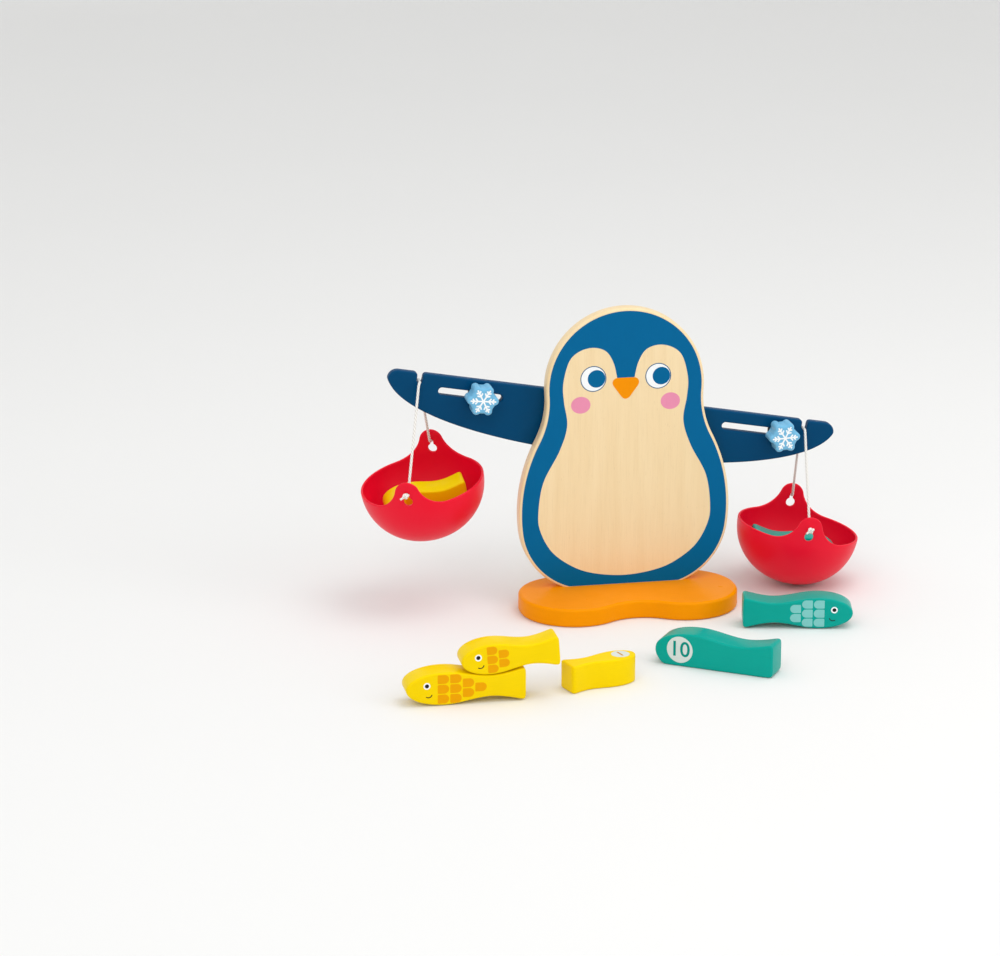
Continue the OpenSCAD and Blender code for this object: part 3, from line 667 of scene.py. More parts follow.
def twisted_cotton(name, tint):
    """Twisted cotton cord: matt white strands, painted shade greying the grooves, fine stray fibres."""
    layers = [
        # Painted shade: the lower a point lies in the groove between strands, the nearer it comes to a darker
        # grey
        (None, 0.0, 0.0, (0.7, 0.0), 0.75, shade(tint, 0.55)),
        ([1.2 * MM, 0.15 * MM, 1.0], 3.0, 0.55, (0.45, 0.8), 0.35, shade(tint, 0.7)),
    ]
    return surface(name, tint, layers, {"Roughness": 0.85, "Sheen Weight": 0.25}, relief=(1, 0.1 * MM, 0.5))


def pressed_felt(name, tint):
    """Pressed wool felt: matt tangled fibres about 0.3 mm apart, with a soft sheen at the edge."""
    layers = [([0.35 * MM] * 3, 4.0, 0.7, (0.3, 0.7), 1.0, shade(tint, 1.2))]
    matt = {"Roughness": 0.95, "Sheen Weight": 0.4}
    return surface(name, shade(tint, 0.6), layers, matt, relief=(0, 0.2 * MM, 0.7), lie=False)


def zinc_plated_steel(name):
    """Zinc-plated steel: grey metal with a fine uneven grain from the plating bath."""
    layers = [([0.5 * MM] * 3, 3.0, 0.55, (0.0, 1.0), 1.0, linear("#8F9296"))]
    metal = {"Metallic": 1.0}
    return surface(name, linear("#B9BBBD"), layers, metal, (0, 0.25, 0.45), (0, 0.02 * MM, 0.3), False)


def matt_paper(name, tint):
    """Seamless studio paper: pale and matt, with hardly visible mottling."""
    layers = [([0.4] * 3, 2.0, 0.55, (0.0, 1.0), 1.0, shade(tint, 0.985))]
    return surface(name, tint, layers, {"Roughness": 0.9, "Specular IOR Level": 0.1}, lie=False)


# Shapes of this scale


def board_outline(s, inset, low):
    """Board: arcs that touch one another, for the belly corner, the flank, the hollow neck and the head,
    all moved in by the inset, from a height above the feet up to the crown."""
    head = np.array([0, s.board_h - s.head_r])
    belly = np.array([s.belly_x, s.belly_z])
    inwards = np.array([-math.cos(s.flank_angle), math.sin(s.flank_angle)])
    flank = belly + (s.flank_r - s.belly_r) * inwards
    gap = head - flank
    apart = np.hypot(*gap)
    ra, rb = s.flank_r + s.neck_r, s.head_r + s.neck_r
    along = (ra * ra - rb * rb + apart * apart) / (2 * apart)
    beside = math.sqrt(ra * ra - along * along) * np.array([gap[1], -gap[0]])
    neck = flank + (along * gap + beside) / apart
    to_flank = math.atan2(*(flank - neck)[::-1]) + 2 * math.pi
    to_head = math.atan2(*(head - neck)[::-1])
    start = -math.asin((s.belly_z - low) / (s.belly_r - inset))
    half = np.vstack([
        arc(belly, s.belly_r - inset, start, -s.flank_angle, 60),
        arc(flank, s.flank_r - inset, -s.flank_angle, to_flank - math.pi, 60),
        arc(neck, s.neck_r + inset, to_flank, to_head, 60),
        arc(head, s.head_r - inset, to_head - math.pi, math.pi / 2, 90),
    ])
    return trace(both_halves(half), BOARD_STEP)


def belly_outline():
    """Bare belly and face: one smooth curve through measured points, as half widths and heights above the
    feet in millimetres, from the bottom of the belly up to the lobe over an eye and down to the middle."""
    knots = np.array([
        (0, 7.3), (25, 10.2), (43, 17), (60, 30.1), (69.8, 48), (71.7, 64), (67.6, 89.8), (54.5, 115.4),
        (48.2, 136.3), (50.9, 156.3), (51.6, 171.5), (47, 189.5), (39, 197.6), (27.4, 200.5), (16.5, 197),
        (10.2, 187), (7, 174), (5.5, 168),
    ])  # fmt: skip
    per_span = 12
    through = curve_through(np.vstack([knots[1:2] * (-1, 1), knots]) * MM, per_span)[per_span:]
    return trace(both_halves(through), BELLY_STEP)


def beam_outline(b):
    """Beam: straight top with a round hub on tangent flanks, a rounded notch near each end, round tips, and
    a lower edge that is the superellipse with depth and half length to the beam's power."""
    half, p = b.beam_len / 2, b.beam_power
    tip_u = half * (1 - (b.tip_r / b.beam_depth) ** p) ** (1 / p) - b.tip_r
    a = np.linspace(0, np.pi / 2, 240)
    lower = np.column_stack([half * np.sin(a) ** (2 / p), -b.beam_depth * np.cos(a) ** (2 / p)])
    lower = lower[lower[:, 1] < -b.tip_r]
    reach = math.hypot(b.hub_foot, b.hub_rise)
    lean = math.acos(b.hub_r / reach) - math.atan2(b.hub_rise, b.hub_foot)
    lip, w = b.notch_lip, b.notch_w / 2
    notch = np.vstack([
        arc((b.notch_at + w + lip, -lip), lip, math.pi / 2, math.pi, 12),
        arc((b.notch_at, w - b.notch_depth), w, 0, -math.pi, 16),
        arc((b.notch_at - w - lip, -lip), lip, 0, math.pi / 2, 12),
    ])
    tip = arc((tip_u, -b.tip_r), b.tip_r, 0, math.pi / 2, 24)
    hub = arc((0, b.hub_rise), b.hub_r, lean, math.pi / 2, 30)
    right = np.vstack([lower, tip, notch, [[b.hub_foot, 0]], hub])
    return trace(both_halves(right), BEAM_STEP, b.beam_soften)


def slot_outline(b, side):
    """Slot: two half circles joined by straight edges, run clockwise as a hole."""
    r, v = b.slot_w / 2, -b.slot_drop
    ends = np.vstack([
        arc((b.slot_out - r, v), r, -math.pi / 2, math.pi / 2, 24),
        arc((b.slot_in + r, v), r, math.pi / 2, 3 * math.pi / 2, 24),
    ])
    return wound(trace(ends * (side, 1), SLOT_STEP), False)


def knob_outline(b):
    """Knob: at each angle the smooth larger of the core's radius and the reach of the nearest round
    point."""
    a = np.linspace(0, 2 * np.pi, 360, endpoint=False)
    off = (a + np.pi / 6) % (np.pi / 3) - np.pi / 6
    out = b.knob_d / 2 - b.lobe_r
    point = out * np.cos(off) + np.sqrt(np.maximum(0, b.lobe_r**2 - (out * np.sin(off)) ** 2))
    r = b.lobe_blend * np.logaddexp(b.knob_core_r / b.lobe_blend, point / b.lobe_blend)
    return trace(np.column_stack([r * np.cos(a), r * np.sin(a)]), KNOB_STEP, b.knob_soften)


# The snowflake's side lines: where each pair starts and how long it is, as shares of an arm, and its lean
FLAKE_TWIGS, FLAKE_LEAN = ((0.42, 0.30), (0.68, 0.24)), math.radians(50)


def snowflake_outline(p):
    """Snowflake: six arms a sixth of a turn apart, each a straight line with two pairs of side lines that
    lean outwards, all as one outline."""
    w = p.flake_w / 2
    out = np.array([math.cos(FLAKE_LEAN), math.sin(FLAKE_LEAN)])
    side = np.array([-out[1], out[0]]) * w
    edge = [np.array([w / math.tan(math.pi / 6), w])]
    for start, long in FLAKE_TWIGS:
        root, tip = np.array([start * p.flake_r, 0.0]), out * long * p.flake_r
        near, far = root + side, root - side
        edge.append(near + out * (w - near[1]) / out[1])
        edge += [near + tip, far + tip]
        edge.append(far + out * (w - far[1]) / out[1])
    edge.append(np.array([p.flake_r, w]))
    upper = np.array(edge)
    arm = np.vstack([upper[1:] * (1, -1), upper[::-1]])
    arms = [arm @ turn("Z", -math.pi / 3 * k)[:2, :2] for k in range(6)]
    return wound(np.vstack(arms))


# A fish's outline: where its head and its waist end, as shares of its length, the heights of its waist and
# its tail, as shares of its height, the bend of its tail, and how its points crowd towards the nose
HEAD_END, WAIST_AT, WAIST_H, TAIL_H, TAIL_BEND, CROWD = 0.32, 0.72, 0.64, 1.03, 1.6, 1.4


def fish_size(f, n):
    """Length and height of a fish: those of the smallest one plus even steps."""
    return f.fish_len + f.fish_len_step * (n - 1), f.fish_h + f.fish_h_step * (n - 1)


def swell(t):
    """Fish: half height along its length as a share of its height. A quarter ellipse at the head, a cosine
    down to the waist and a power curve out to the tail."""
    head = np.sqrt(np.maximum(0, 1 - (1 - np.minimum(t, HEAD_END) / HEAD_END) ** 2))
    eased = (1 - np.cos(np.pi * np.clip((t - HEAD_END) / (WAIST_AT - HEAD_END), 0, 1))) / 2
    waist = 1 - (1 - WAIST_H) * eased
    tail = WAIST_H + (TAIL_H - WAIST_H) * np.clip((t - WAIST_AT) / (1 - WAIST_AT), 0, 1) ** TAIL_BEND
    return 0.5 * np.select([t < HEAD_END, t < WAIST_AT], [head, waist], tail)


def fish_outline(f, n):
    """Fish: the swelling back and its mirror image below. Fish 10 has a straight belly and a cut chin."""
    long, high = fish_size(f, n)
    t = np.linspace(0, 1, 140) ** CROWD
    back = np.column_stack([(t - 0.5) * long, high * swell(t)])
    if n == 10:
        foot, chin, throat = -high * TAIL_H / 2, -0.2 * high, (0.06 - 0.5) * long
        belly = np.array([[long / 2, foot], [throat, foot], [-long / 2, chin]])
    else:
        belly = back[:0:-1] * (1, -1)
    loop = np.vstack([back, belly])
    return wound(trace(loop, FISH_STEP, f.soften))


# Scales in each column, from the head to the tail
SCALE_COLUMNS = {
    1: (1,), 2: (2,), 3: (2, 1), 4: (3, 1), 5: (3, 2), 6: (3, 2, 1), 7: (3, 3, 1), 8: (3, 3, 2),
    9: (3, 3, 2, 1), 10: (3, 3, 2, 2),
}  # fmt: skip
# Where the scales and the eye begin, as shares of the length from the nose, and how high the eye is
SCALES_AT, EYE_AT, EYE_UP = 0.265, 0.176, 0.12
# Scales as shares of the fish's height: distances between rows and columns, height and width
SCALE_ROW, SCALE_COLUMN, SCALE_H, SCALE_W = 0.30, 0.37, 0.268, 0.335


def scale_outlines(f, n):
    """Scales: as many as the fish's number, in columns behind the face, each flat at the head with small
    round corners and a half circle at the tail."""
    long, high = fish_size(f, n)
    r, wide = SCALE_H * high / 2, SCALE_W * high
    loops = []
    for k, rows in enumerate(SCALE_COLUMNS[n]):
        x = (SCALES_AT - 0.5) * long + SCALE_COLUMN * high * k
        for row in range(rows):
            z = (row - (rows - 1) / 2) * SCALE_ROW * high
            nose = arc((x + wide - r, z), r, -math.pi / 2, math.pi / 2, 16)
            box = np.array([[x, z + r], [x, z - r], [x + wide, z - r], [x + wide, z + r]])
            corners = rounded(box, 0.8 * MM)
            loops.append(wound(np.vstack([nose, corners[corners[:, 0] < x + wide / 2]])))
    return loops


def smile_outline(centre, half_w, width):
    """Smile: a thin line along the lower part of a circle, whose end towards the tail is the higher one."""
    r, low = half_w * 1.15, math.radians(-72)
    span = math.asin(half_w / r)
    c = np.array(centre) - r * np.array([math.cos(low), math.sin(low)])
    outer = arc(c, r + width / 2, low - span, low + span, 20)
    inner = arc(c, r - width / 2, low + span, low - span, 20)
    return wound(np.vstack([outer, inner]))


# The fish's places, as in the part's source: X and Y on the table in millimetres, and yaw in degrees
FLOOR_FISH = {
    9: (-172.14, -193.8, 0), 10: (35.72, -157.7, 146), 8: (123.5, -71.44, -12), 6: (11.4, 74.1, 176),
    7: (15.2, 108.3, 4), 2: (13.3, 141.36, -3),
}  # fmt: skip
# Fish 1 lies on its side by fish 9: shares of that one's length and of the thickness between them, and yaw
SIDE_FISH = (1.18, 0.6, 197)
# Fish 5 sits on fish 9, nearer its tail by a share of its length
STACK_SHARE = 0.37
# Fish in buckets: the side, the shift to the back as a share of the thickness, and yaw
BOWL_FISH = {3: ("left", 0.27, 20), 4: ("right", 0.0, 0)}


def bucket_frame(context, side):
    """Rotation and place of a bucket: below its notch by the cord's drop, turned, leaned to the front,
    rolled."""
    k = context.scene.scale_buckets
    yaw, pitch, roll = k.right_yaw, 0.0, k.right_roll
    if side == "left":
        yaw, pitch, roll = k.left_yaw, k.left_pitch, k.left_roll
    spin = turn("Z", yaw) @ turn("X", pitch) @ turn("Y", roll)
    return spin, hang_point(context, side) - [0, 0, k.hang_drop]


def hang_point(context, side):
    """Where a cord crosses its notch, on the tilted beam."""
    b, k = context.scene.scale_beam, context.scene.scale_buckets
    low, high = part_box("balance_beam")
    u = -b.notch_at if side == "left" else b.notch_at
    v = -b.hub_rise - b.notch_depth + k.cord_d / 2 + CORD_GAP
    tilted = turn("Y", b.tilt) @ np.array([u, 0, v])
    return tilted + [0, (low.y + high.y) / 2, context.scene.scale_stand.pivot_z]


def fish_frame(context, n):
    """Rotation and place of a fish: upright on the table, on the back of fish 9, on its side, or in a
    bucket at the depth where the corners of its belly meet the bowl."""
    f, k = context.scene.scale_fish, context.scene.scale_buckets
    long, high = fish_size(f, n)
    foot = high * TAIL_H / 2
    if n in FLOOR_FISH:
        x, y, yaw = FLOOR_FISH[n]
        return turn("Z", math.radians(yaw)), np.array([x * MM, y * MM, foot])
    if n == 5:
        return turn("Y", -f.stack_tilt), stack_place(f)
    if n == 1:
        x, y, _ = FLOOR_FISH[9]
        along, beside, yaw = SIDE_FISH
        away = np.array([along * fish_size(f, 9)[0], beside * f.fish_t, f.fish_t / 2])
        return turn("Z", math.radians(yaw)) @ turn("X", math.pi / 2), away + [x * MM, y * MM, 0]
    side, shift, yaw = BOWL_FISH[n]
    y = shift * f.fish_t
    spin, place = bucket_frame(context, side)
    spin = spin @ turn("Z", math.radians(yaw))
    corner = math.hypot(long / 2, y + f.fish_t / 2) + f.lie_gap
    share = corner / (k.bucket_d / 2 - k.wall)
    seat = (k.bowl_depth - k.wall) * (1 - share**k.bowl_power) ** (1 / k.bowl_power)
    return spin, place + spin @ np.array([0, y, -k.hang_rise - seat + foot])


def stack_place(f):
    """Fish 5 on fish 9: the least rise that keeps every point of its tilted belly clear of the back
    below."""
    long, high = fish_size(f, 5)
    below, back = fish_size(f, 9)
    shift = STACK_SHARE * below
    t = np.linspace(0, 1, 41) ** CROWD
    belly = np.column_stack([(t - 0.5) * long, -high * swell(t)])
    belly = belly @ turn("Z", -f.stack_tilt)[:2, :2] + [shift, 0]
    belly = belly[np.abs(belly[:, 0]) < below / 2]
    rise = f.lie_gap + float(np.max(back * swell(belly[:, 0] / below + 0.5) - belly[:, 1]))
    x, y, _ = FLOOR_FISH[9]
    return np.array([x * MM + shift, y * MM, back * TAIL_H / 2 + rise])


def cord_line(context, side):
    """Cord: straight runs between six corners seen from the side, each corner inside rounded by a tangent
    arc: front knot, front ear, both edges of the beam, back ear, back knot. Past the beam it sways sideways
    in even measure to the turned ears."""
    k = context.scene.scale_buckets
    low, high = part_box("balance_beam")
    spin, _ = bucket_frame(context, side)
    ear = spin[1:, 1]
    down = np.array([0, -k.hang_drop])
    knot = k.bucket_d / 2 + k.knot_d / 2
    bend = k.bucket_d / 2 - k.wall - k.bend_r * 3 / 4
    flat = (high.y - low.y) / 2 + k.bend_r / 5
    edge = flat + k.bend_r * math.tan(math.atan2(k.hang_drop, bend - flat) / 2)
    front, back = [down - knot * ear, down - bend * ear], [down + bend * ear, down + knot * ear]
    corners = np.array([*front, [-edge, 0], [edge, 0], *back])
    bends = [corner_arc(*trio, k.bend_r, 14) for trio in zip(corners, corners[1:], corners[2:])]
    line = np.vstack([corners[:1], *bends, corners[-1:]])
    run = np.concatenate([[0.0], np.cumsum(np.hypot(*np.diff(line, axis=0).T))])
    at = np.linspace(0, run[-1], int(run[-1] / CORD_STEP))
    line = np.column_stack([np.interp(at, run, line[:, i]) for i in (0, 1)])
    hole = k.bucket_d / 2 - k.wall / 2
    past = np.sign(line[:, 0]) * np.maximum(0, np.abs(line[:, 0]) - flat)
    sway = past * hole * spin[0, 1] / (hole * ear[0] - flat)
    path = hang_point(context, side) + np.column_stack([sway, line])
    return path, float(np.linalg.norm(np.diff(path, axis=0), axis=1).sum())


def rim_path(k):
    """Rim: half of its developed edge from the side of the bowl to the top of an ear, as (x, height)
    points, with its outward normals: level, a hollow sweep up, and the ear's round top."""
    r = k.bucket_d / 2 - k.wall / 2
    rim = -k.hang_rise
    top = k.ear_rise - k.hang_rise
    ear = np.array([0.0, top - k.ear_w / 2])
    apart = k.ear_w / 2 + k.ear_sweep_r
    lean = math.asin((rim + k.ear_sweep_r - ear[1]) / apart)
    sweep = ear + apart * np.array([math.cos(lean), math.sin(lean)])
    side = np.linspace(math.pi / 2, math.asin(sweep[0] / r), 40)
    level = np.column_stack([r * np.sin(side), np.full(40, rim)])
    path = np.vstack([
        level,
        arc(sweep, k.ear_sweep_r, 1.5 * math.pi, math.pi + lean, 34)[1:],
        arc(ear, k.ear_w / 2, lean, math.pi / 2, 30)[1:],
    ])
    way = np.gradient(path, axis=0)
    normal = np.column_stack([-way[:, 1], way[:, 0]])
    normal /= np.hypot(*normal.T)[:, None]
    return path, -normal


def bucket_shell(k):
    """Bucket: a shell whose columns run from the pole under the bowl up to each point of the rim, inside
    and outside, over a half-round rim. The bowl is the superellipse of depth and radius to the bowl's
    power. Columns spread evenly at the pole and drift to the rim's own points higher up."""
    quarter, normal = rim_path(k)
    rim, mid_r, power = -k.hang_rise, k.bucket_d / 2 - k.wall / 2, k.bowl_power
    quarter = quarter - normal * k.wall / 2
    a = np.arcsin(np.clip(quarter[:, 0] / mid_r, -1, 1))
    a = np.unwrap(np.concatenate([a, -a[-2::-1], np.pi + a[1:], np.pi - a[-2:0:-1]]))
    z, nx, nz = (
        np.concatenate([v, flip * v[-2::-1], v[1:], flip * v[-2:0:-1]])
        for v, flip in ((quarter[:, 1], 1), (normal[:, 0], -1), (normal[:, 1], 1))
    )
    even = np.linspace(a[0], a[0] - 2 * np.pi, len(a), endpoint=False)
    bowl_rows, wall_rows, lip_rows, bowl_top = 36, 14, 9, 0.05
    shares = np.linspace(1, bowl_top, bowl_rows)[1:, None]
    lifts = np.linspace(0, 1, wall_rows)[1:, None]

    def side(radius, depth):
        """One face of the wall, from near the pole up to the rim."""
        drop = np.sin(shares * np.pi / 2)
        height = rim - depth * drop
        drift = np.clip(1 - 1.5 * shares, 0, 1)
        turns = np.vstack([even + (a - even) * drift * drift * (3 - 2 * drift), np.tile(a, (len(lifts), 1))])
        heights = np.vstack([np.tile(height, len(a)), height[-1] + (z - height[-1]) * lifts])
        radii = radius * (1 - np.clip((rim - heights) / depth, 0, 1) ** power) ** (1 / power)
        return np.stack([radii * np.sin(turns), -radii * np.cos(turns), heights], -1)

    phi = np.linspace(0, np.pi, lip_rows)[1:-1, None]
    over, out = k.wall / 2 * np.sin(phi), mid_r + k.wall / 2 * np.cos(phi)
    turns = a + nx * over / mid_r
    lip = np.stack([out * np.sin(turns), -out * np.cos(turns), z + nz * over], -1)
    rows = np.concatenate([
        side(k.bucket_d / 2, k.bowl_depth),
        lip,
        side(k.bucket_d / 2 - k.wall, k.bowl_depth - k.wall)[::-1],
    ])
    n, last = len(a), rows.shape[0] * len(a)
    pole = rim - k.bowl_depth
    points = np.vstack([rows.reshape(-1, 3), [[0, 0, pole], [0, 0, pole + k.wall]]])
    index = np.arange(last).reshape(-1, n)
    under = np.column_stack([np.full(n, last), index[0], np.roll(index[0], -1)])
    inside = np.column_stack([np.full(n, last + 1), np.roll(index[-1], -1), index[-1]])
    return points, grid_faces(index), np.vstack([under, inside])


# Operators


# Lamps: name, place, side and watts, all turned to one aim, in metres
LAMPS = (
    ("soft_top", (0.5, -0.3, 2.0), 1.2, 10.0),
    ("soft_front", (-1.3, -2.2, 2.0), 1.6, 14.0),
    ("soft_right", (1.9, -1.3, 1.3), 1.2, 8.0),
)
LAMP_AIM = (0, 0, 0.1)
# Floor paper in metres: its front edge, where its bend starts, the bend's radius, its top and its half
# width
PAPER_FRONT, BEND_AT, BEND_R, PAPER_TOP, PAPER_HALF = -6.0, 3.0, 1.2, 5.0, 7.0
# How far the camera sees, in metres
CLIP_END = 50.0


class SCALETOY_OT_stage(bpy.types.Operator):
    """Sets up the camera, the soft lights and the pale seamless floor"""

    bl_idname = "scaletoy.stage"
    bl_label = "Stage, light and camera"

    def execute(self, context):
        context.scene.view_settings.view_transform = "Standard"
        self.camera(context.scene)
        self.lights(context.scene)
        self.floor(context.scene)
        return {"FINISHED"}

    def camera(self, scene):
        """The photo's view: from the azimuth and elevation, at a distance from a point near the board."""
        s = scene.scale_stage
        a, e = s.azimuth, s.elevation
        back = np.array([math.sin(a) * math.cos(e), -math.cos(a) * math.cos(e), math.sin(e)])
        right = np.array([math.cos(a), math.sin(a), 0.0])
        up = np.cross(back, right)
        board = np.array([0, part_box("penguin_board")[0].y, s.aim_z])
        aim = board + right * s.aim_right + up * s.aim_up
        lens = bpy.data.cameras.new("view")
        lens.lens = s.lens_px * lens.sensor_width / FRAME_WIDTH
        lens.clip_end = CLIP_END
        camera = bpy.data.objects.new("view", lens)
        camera.matrix_world = pose(np.column_stack([right, up, back]), aim + back * s.distance)
        scene.collection.objects.link(camera)
        scene.camera = camera

    def lights(self, scene):
        """An even white sky and three large soft lamps."""
        world = bpy.data.worlds.new("studio")
        scene.world = world
        world.use_nodes = True
        tree = world.node_tree
        tree.nodes.clear()
        glow = {"Color": linear("#FFFFFF"), "Strength": scene.scale_stage.sky}
        sky = add(tree, "ShaderNodeBackground", glow)
        add(tree, "ShaderNodeOutputWorld", {"Surface": sky.outputs["Background"]})
        for name, at, size, watts in LAMPS:
            lamp = bpy.data.lights.new(name, "AREA")
            lamp.energy = watts
            lamp.size = size
            holder = bpy.data.objects.new(name, lamp)
            way = np.array(at) - LAMP_AIM
            way /= np.linalg.norm(way)
            side = np.cross([0, 0, 1], way)
            side /= np.linalg.norm(side)
            holder.matrix_world = pose(np.column_stack([side, np.cross(way, side), way]), at)
            scene.collection.objects.link(holder)

    def floor(self, scene):
        """Seamless paper: level, then a quarter circle up into a wall, with one section all along its
        width."""
        a = np.linspace(0, math.pi / 2, 24)
        y = np.concatenate([[PAPER_FRONT], BEND_AT + BEND_R * np.sin(a), [BEND_AT + BEND_R]])
        z = np.concatenate([[0.0], BEND_R - BEND_R * np.cos(a), [PAPER_TOP]])
        x = np.linspace(-PAPER_HALF, PAPER_HALF, 15)
        points = np.stack(np.broadcast_arrays(x[None], y[:, None], z[:, None]), -1).reshape(-1, 3)
        index = np.arange(len(points)).reshape(len(y), len(x))
        mesh = bpy.data.meshes.new("paper")
        mesh.from_pydata(points.tolist(), [], grid_faces(index, False)[:, ::-1].tolist())
        mesh.polygons.foreach_set("use_smooth", np.ones(len(mesh.polygons), bool))
        mesh.materials.append(matt_paper("studio_paper", scene.scale_colours.floor))
        paper = bpy.data.objects.new("paper", mesh)
        scene.collection.objects.link(paper)


class SCALETOY_OT_cords(bpy.types.Operator):
    """Builds the two bucket cords with their knots"""

    bl_idname = "scaletoy.cords"
    bl_label = "Bucket cords"

    def execute(self, context):
        k = context.scene.scale_buckets
        cotton = twisted_cotton("twisted_cotton", context.scene.scale_colours.cord)
        for side in SIDES:
            body, slot = f"{side}_hanger", "white_cord"
            path, long = cord_line(context, side)
            strand = tube(path, k.cord_d / 2, CORD_SIDES, np.array([1.0, 0, 0]), k.cord_lay)
            knots = []
            for end, before in ((path[0], path[40]), (path[-1], path[-41])):
                knots += [(*shape, cotton) for shape in self.knot_and_tail(k, end, end - before)]
            cord = make_piece(f"{side}_twisted_cord", [(*strand, cotton)], body, f"{side}_cord")
            ends = make_piece(f"{side}_cord_knots", knots, body)
        return {"FINISHED"}

    def knot_and_tail(self, k, end, away):
        """A knot at a cord's end, and its loose tail: a thinner cord along a parabola that leaves the knot
        and droops to the left."""
        away = away / np.linalg.norm(away)
        spin = np.column_stack([[1, 0, 0], np.cross(away, [1, 0, 0]), away])
        knot = ball_of_cord(end, k.knot_d / 2 - k.cord_d / 2, k.cord_d / 2, spin)
        t = np.linspace(0, 1, 24)[:, None]
        leave, droop = 0.35 * away + [-0.55, 0, 0.1], np.array([-0.25, 0, -0.35])
        tail = end + k.tail * (t * leave + t**2 * droop)
        return knot, tube(tail, k.cord_d * 0.42, KNOT_SIDES, np.array([0, 0.3, 1.0]), k.cord_lay)


class SCALETOY_OT_feet(bpy.types.Operator):
    """Builds the orange feet plate"""

    bl_idname = "scaletoy.feet"
    bl_label = "Feet plate"

    def execute(self, context):
        s = context.scene.scale_stand
        x, y = s.base_w / 2 - s.foot_r, s.foot_r - s.base_d / 2
        rise = (x * x - s.base_dip**2) / (2 * s.base_dip)
        lean = math.atan2(rise, x)
        half = np.vstack([
            arc((0, y - rise), rise - s.foot_r + s.base_dip, math.pi / 2, lean, 50),
            arc((x, y), s.foot_r, lean - math.pi, 0, 90),
            arc((x, -y), s.foot_r, 0, math.pi / 2, 60),
        ])
        low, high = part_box("penguin_board")
        depth = (low.y + high.y) / 2
        pits = []
        for side in (-1, 1):
            rim = disc((side * s.screw_pitch / 2, depth), s.screw_pit_d / 2)
            pits.append((wound(rim, False), s.screw_pit_h))
        loop = wound(trace(both_halves(half), FEET_STEP))
        solid = slab([loop], s.base_h, s.base_edge, pits=pits)
        seat = ((0, 0, s.base_h), (1, 0, 0), (0, 1, 0))
        paint = painted_wood("orange_gloss_paint", context.scene.scale_colours.feet, "U", 0.3, 0.08)
        lay_plate("feet_plate", solid, seat, paint, "stand", "feet_base")
        return {"FINISHED"}


# The printed coat ends just above the feet
COAT_FOOT = 0.1 * MM


class SCALETOY_OT_board(bpy.types.Operator):
    """Builds the penguin board and its print"""

    bl_idname = "scaletoy.board"
    bl_label = "Penguin board"

    def execute(self, context):
        s, c = context.scene.scale_stand, context.scene.scale_colours
        low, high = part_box("penguin_board")
        seat = ((0, low.y, s.base_h), (1, 0, 0), (0, 0, 1))
        hole = wound(disc((0, s.pivot_z - s.base_h), s.pivot_d / 2), False)
        edge = board_outline(s, 0.0, -s.board_sink)
        solid = slab([edge], high.y - low.y, s.board_edge, pits=[(hole, s.pivot_seat)])
        wood = lacquered_wood("lacquered_beech", c.wood, c.wood_dark, "V")
        lay_plate("printed_board", solid, seat, wood, "stand", "penguin_board")
        make_piece("penguin_print", printed(self.layers(context), seat), "stand")
        return {"FINISHED"}

    def layers(self, context):
        """The print in the order of its layers: coat, then on each side cheek, eye and pupil, then beak."""
        s, p, c = context.scene.scale_stand, context.scene.scale_print, context.scene.scale_colours
        tints = {"coat": c.coat, "eye_white": c.eye_white, "beak": c.beak, "cheek": c.cheek}
        tints["eye_ring"] = shade(c.coat, 0.75)
        inks = {key: screen_ink(f"{key}_screen_ink", tint) for key, tint in tints.items()}
        coat = [board_outline(s, p.coat_rim, COAT_FOOT), wound(belly_outline(), False)]
        layers = [(coat, p.ink, inks["coat"])]
        for side in (-1, 1):
            eye = np.array([side * p.eye_x, p.eye_z])
            cheek = oval((side * p.cheek_x, p.cheek_z), p.cheek_w, p.cheek_h)
            layers += [
                ([cheek], p.ink, inks["cheek"]),
                ([disc(eye, p.eye_r)], p.ink, inks["eye_ring"]),
                ([disc(eye, p.eye_r - p.eye_ring)], 1.5 * p.ink, inks["eye_white"]),
                ([disc(eye + [p.pupil_x, 0], p.pupil_r)], 2 * p.ink, inks["coat"]),
            ]
        corners = np.array([(-p.beak_w, p.beak_top), (0, p.beak_tip), (p.beak_w, p.beak_top)])
        beak = trace(rounded(corners, p.beak_r), BEAK_STEP, p.beak_soften)
        return [*layers, ([wound(beak)], 2 * p.ink, inks["beak"])]


class SCALETOY_OT_beam(bpy.types.Operator):
    """Builds the tilting beam"""

    bl_idname = "scaletoy.beam"
    bl_label = "Balance beam"

    def execute(self, context):
        b, stand = context.scene.scale_beam, context.scene.scale_stand
        low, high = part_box("balance_beam")
        bore = wound(disc((0, b.hub_rise), b.bore_d / 2, 48), False)
        loops = [wound(beam_outline(b)), bore, slot_outline(b, -1), slot_outline(b, 1)]
        solid = slab(loops, high.y - low.y, b.beam_edge)
        spin = turn("Y", b.tilt)
        origin = spin @ np.array([0, 0, -b.hub_rise]) + [0, low.y, stand.pivot_z]
        seat = (origin, spin[:, 0], spin[:, 2])
        paint = painted_wood("deep_blue_paint", context.scene.scale_colours.beam, "U", 0.4, 0.2)
        lay_plate("painted_beam", solid, seat, paint, "beam", "balance_beam")
        return {"FINISHED"}


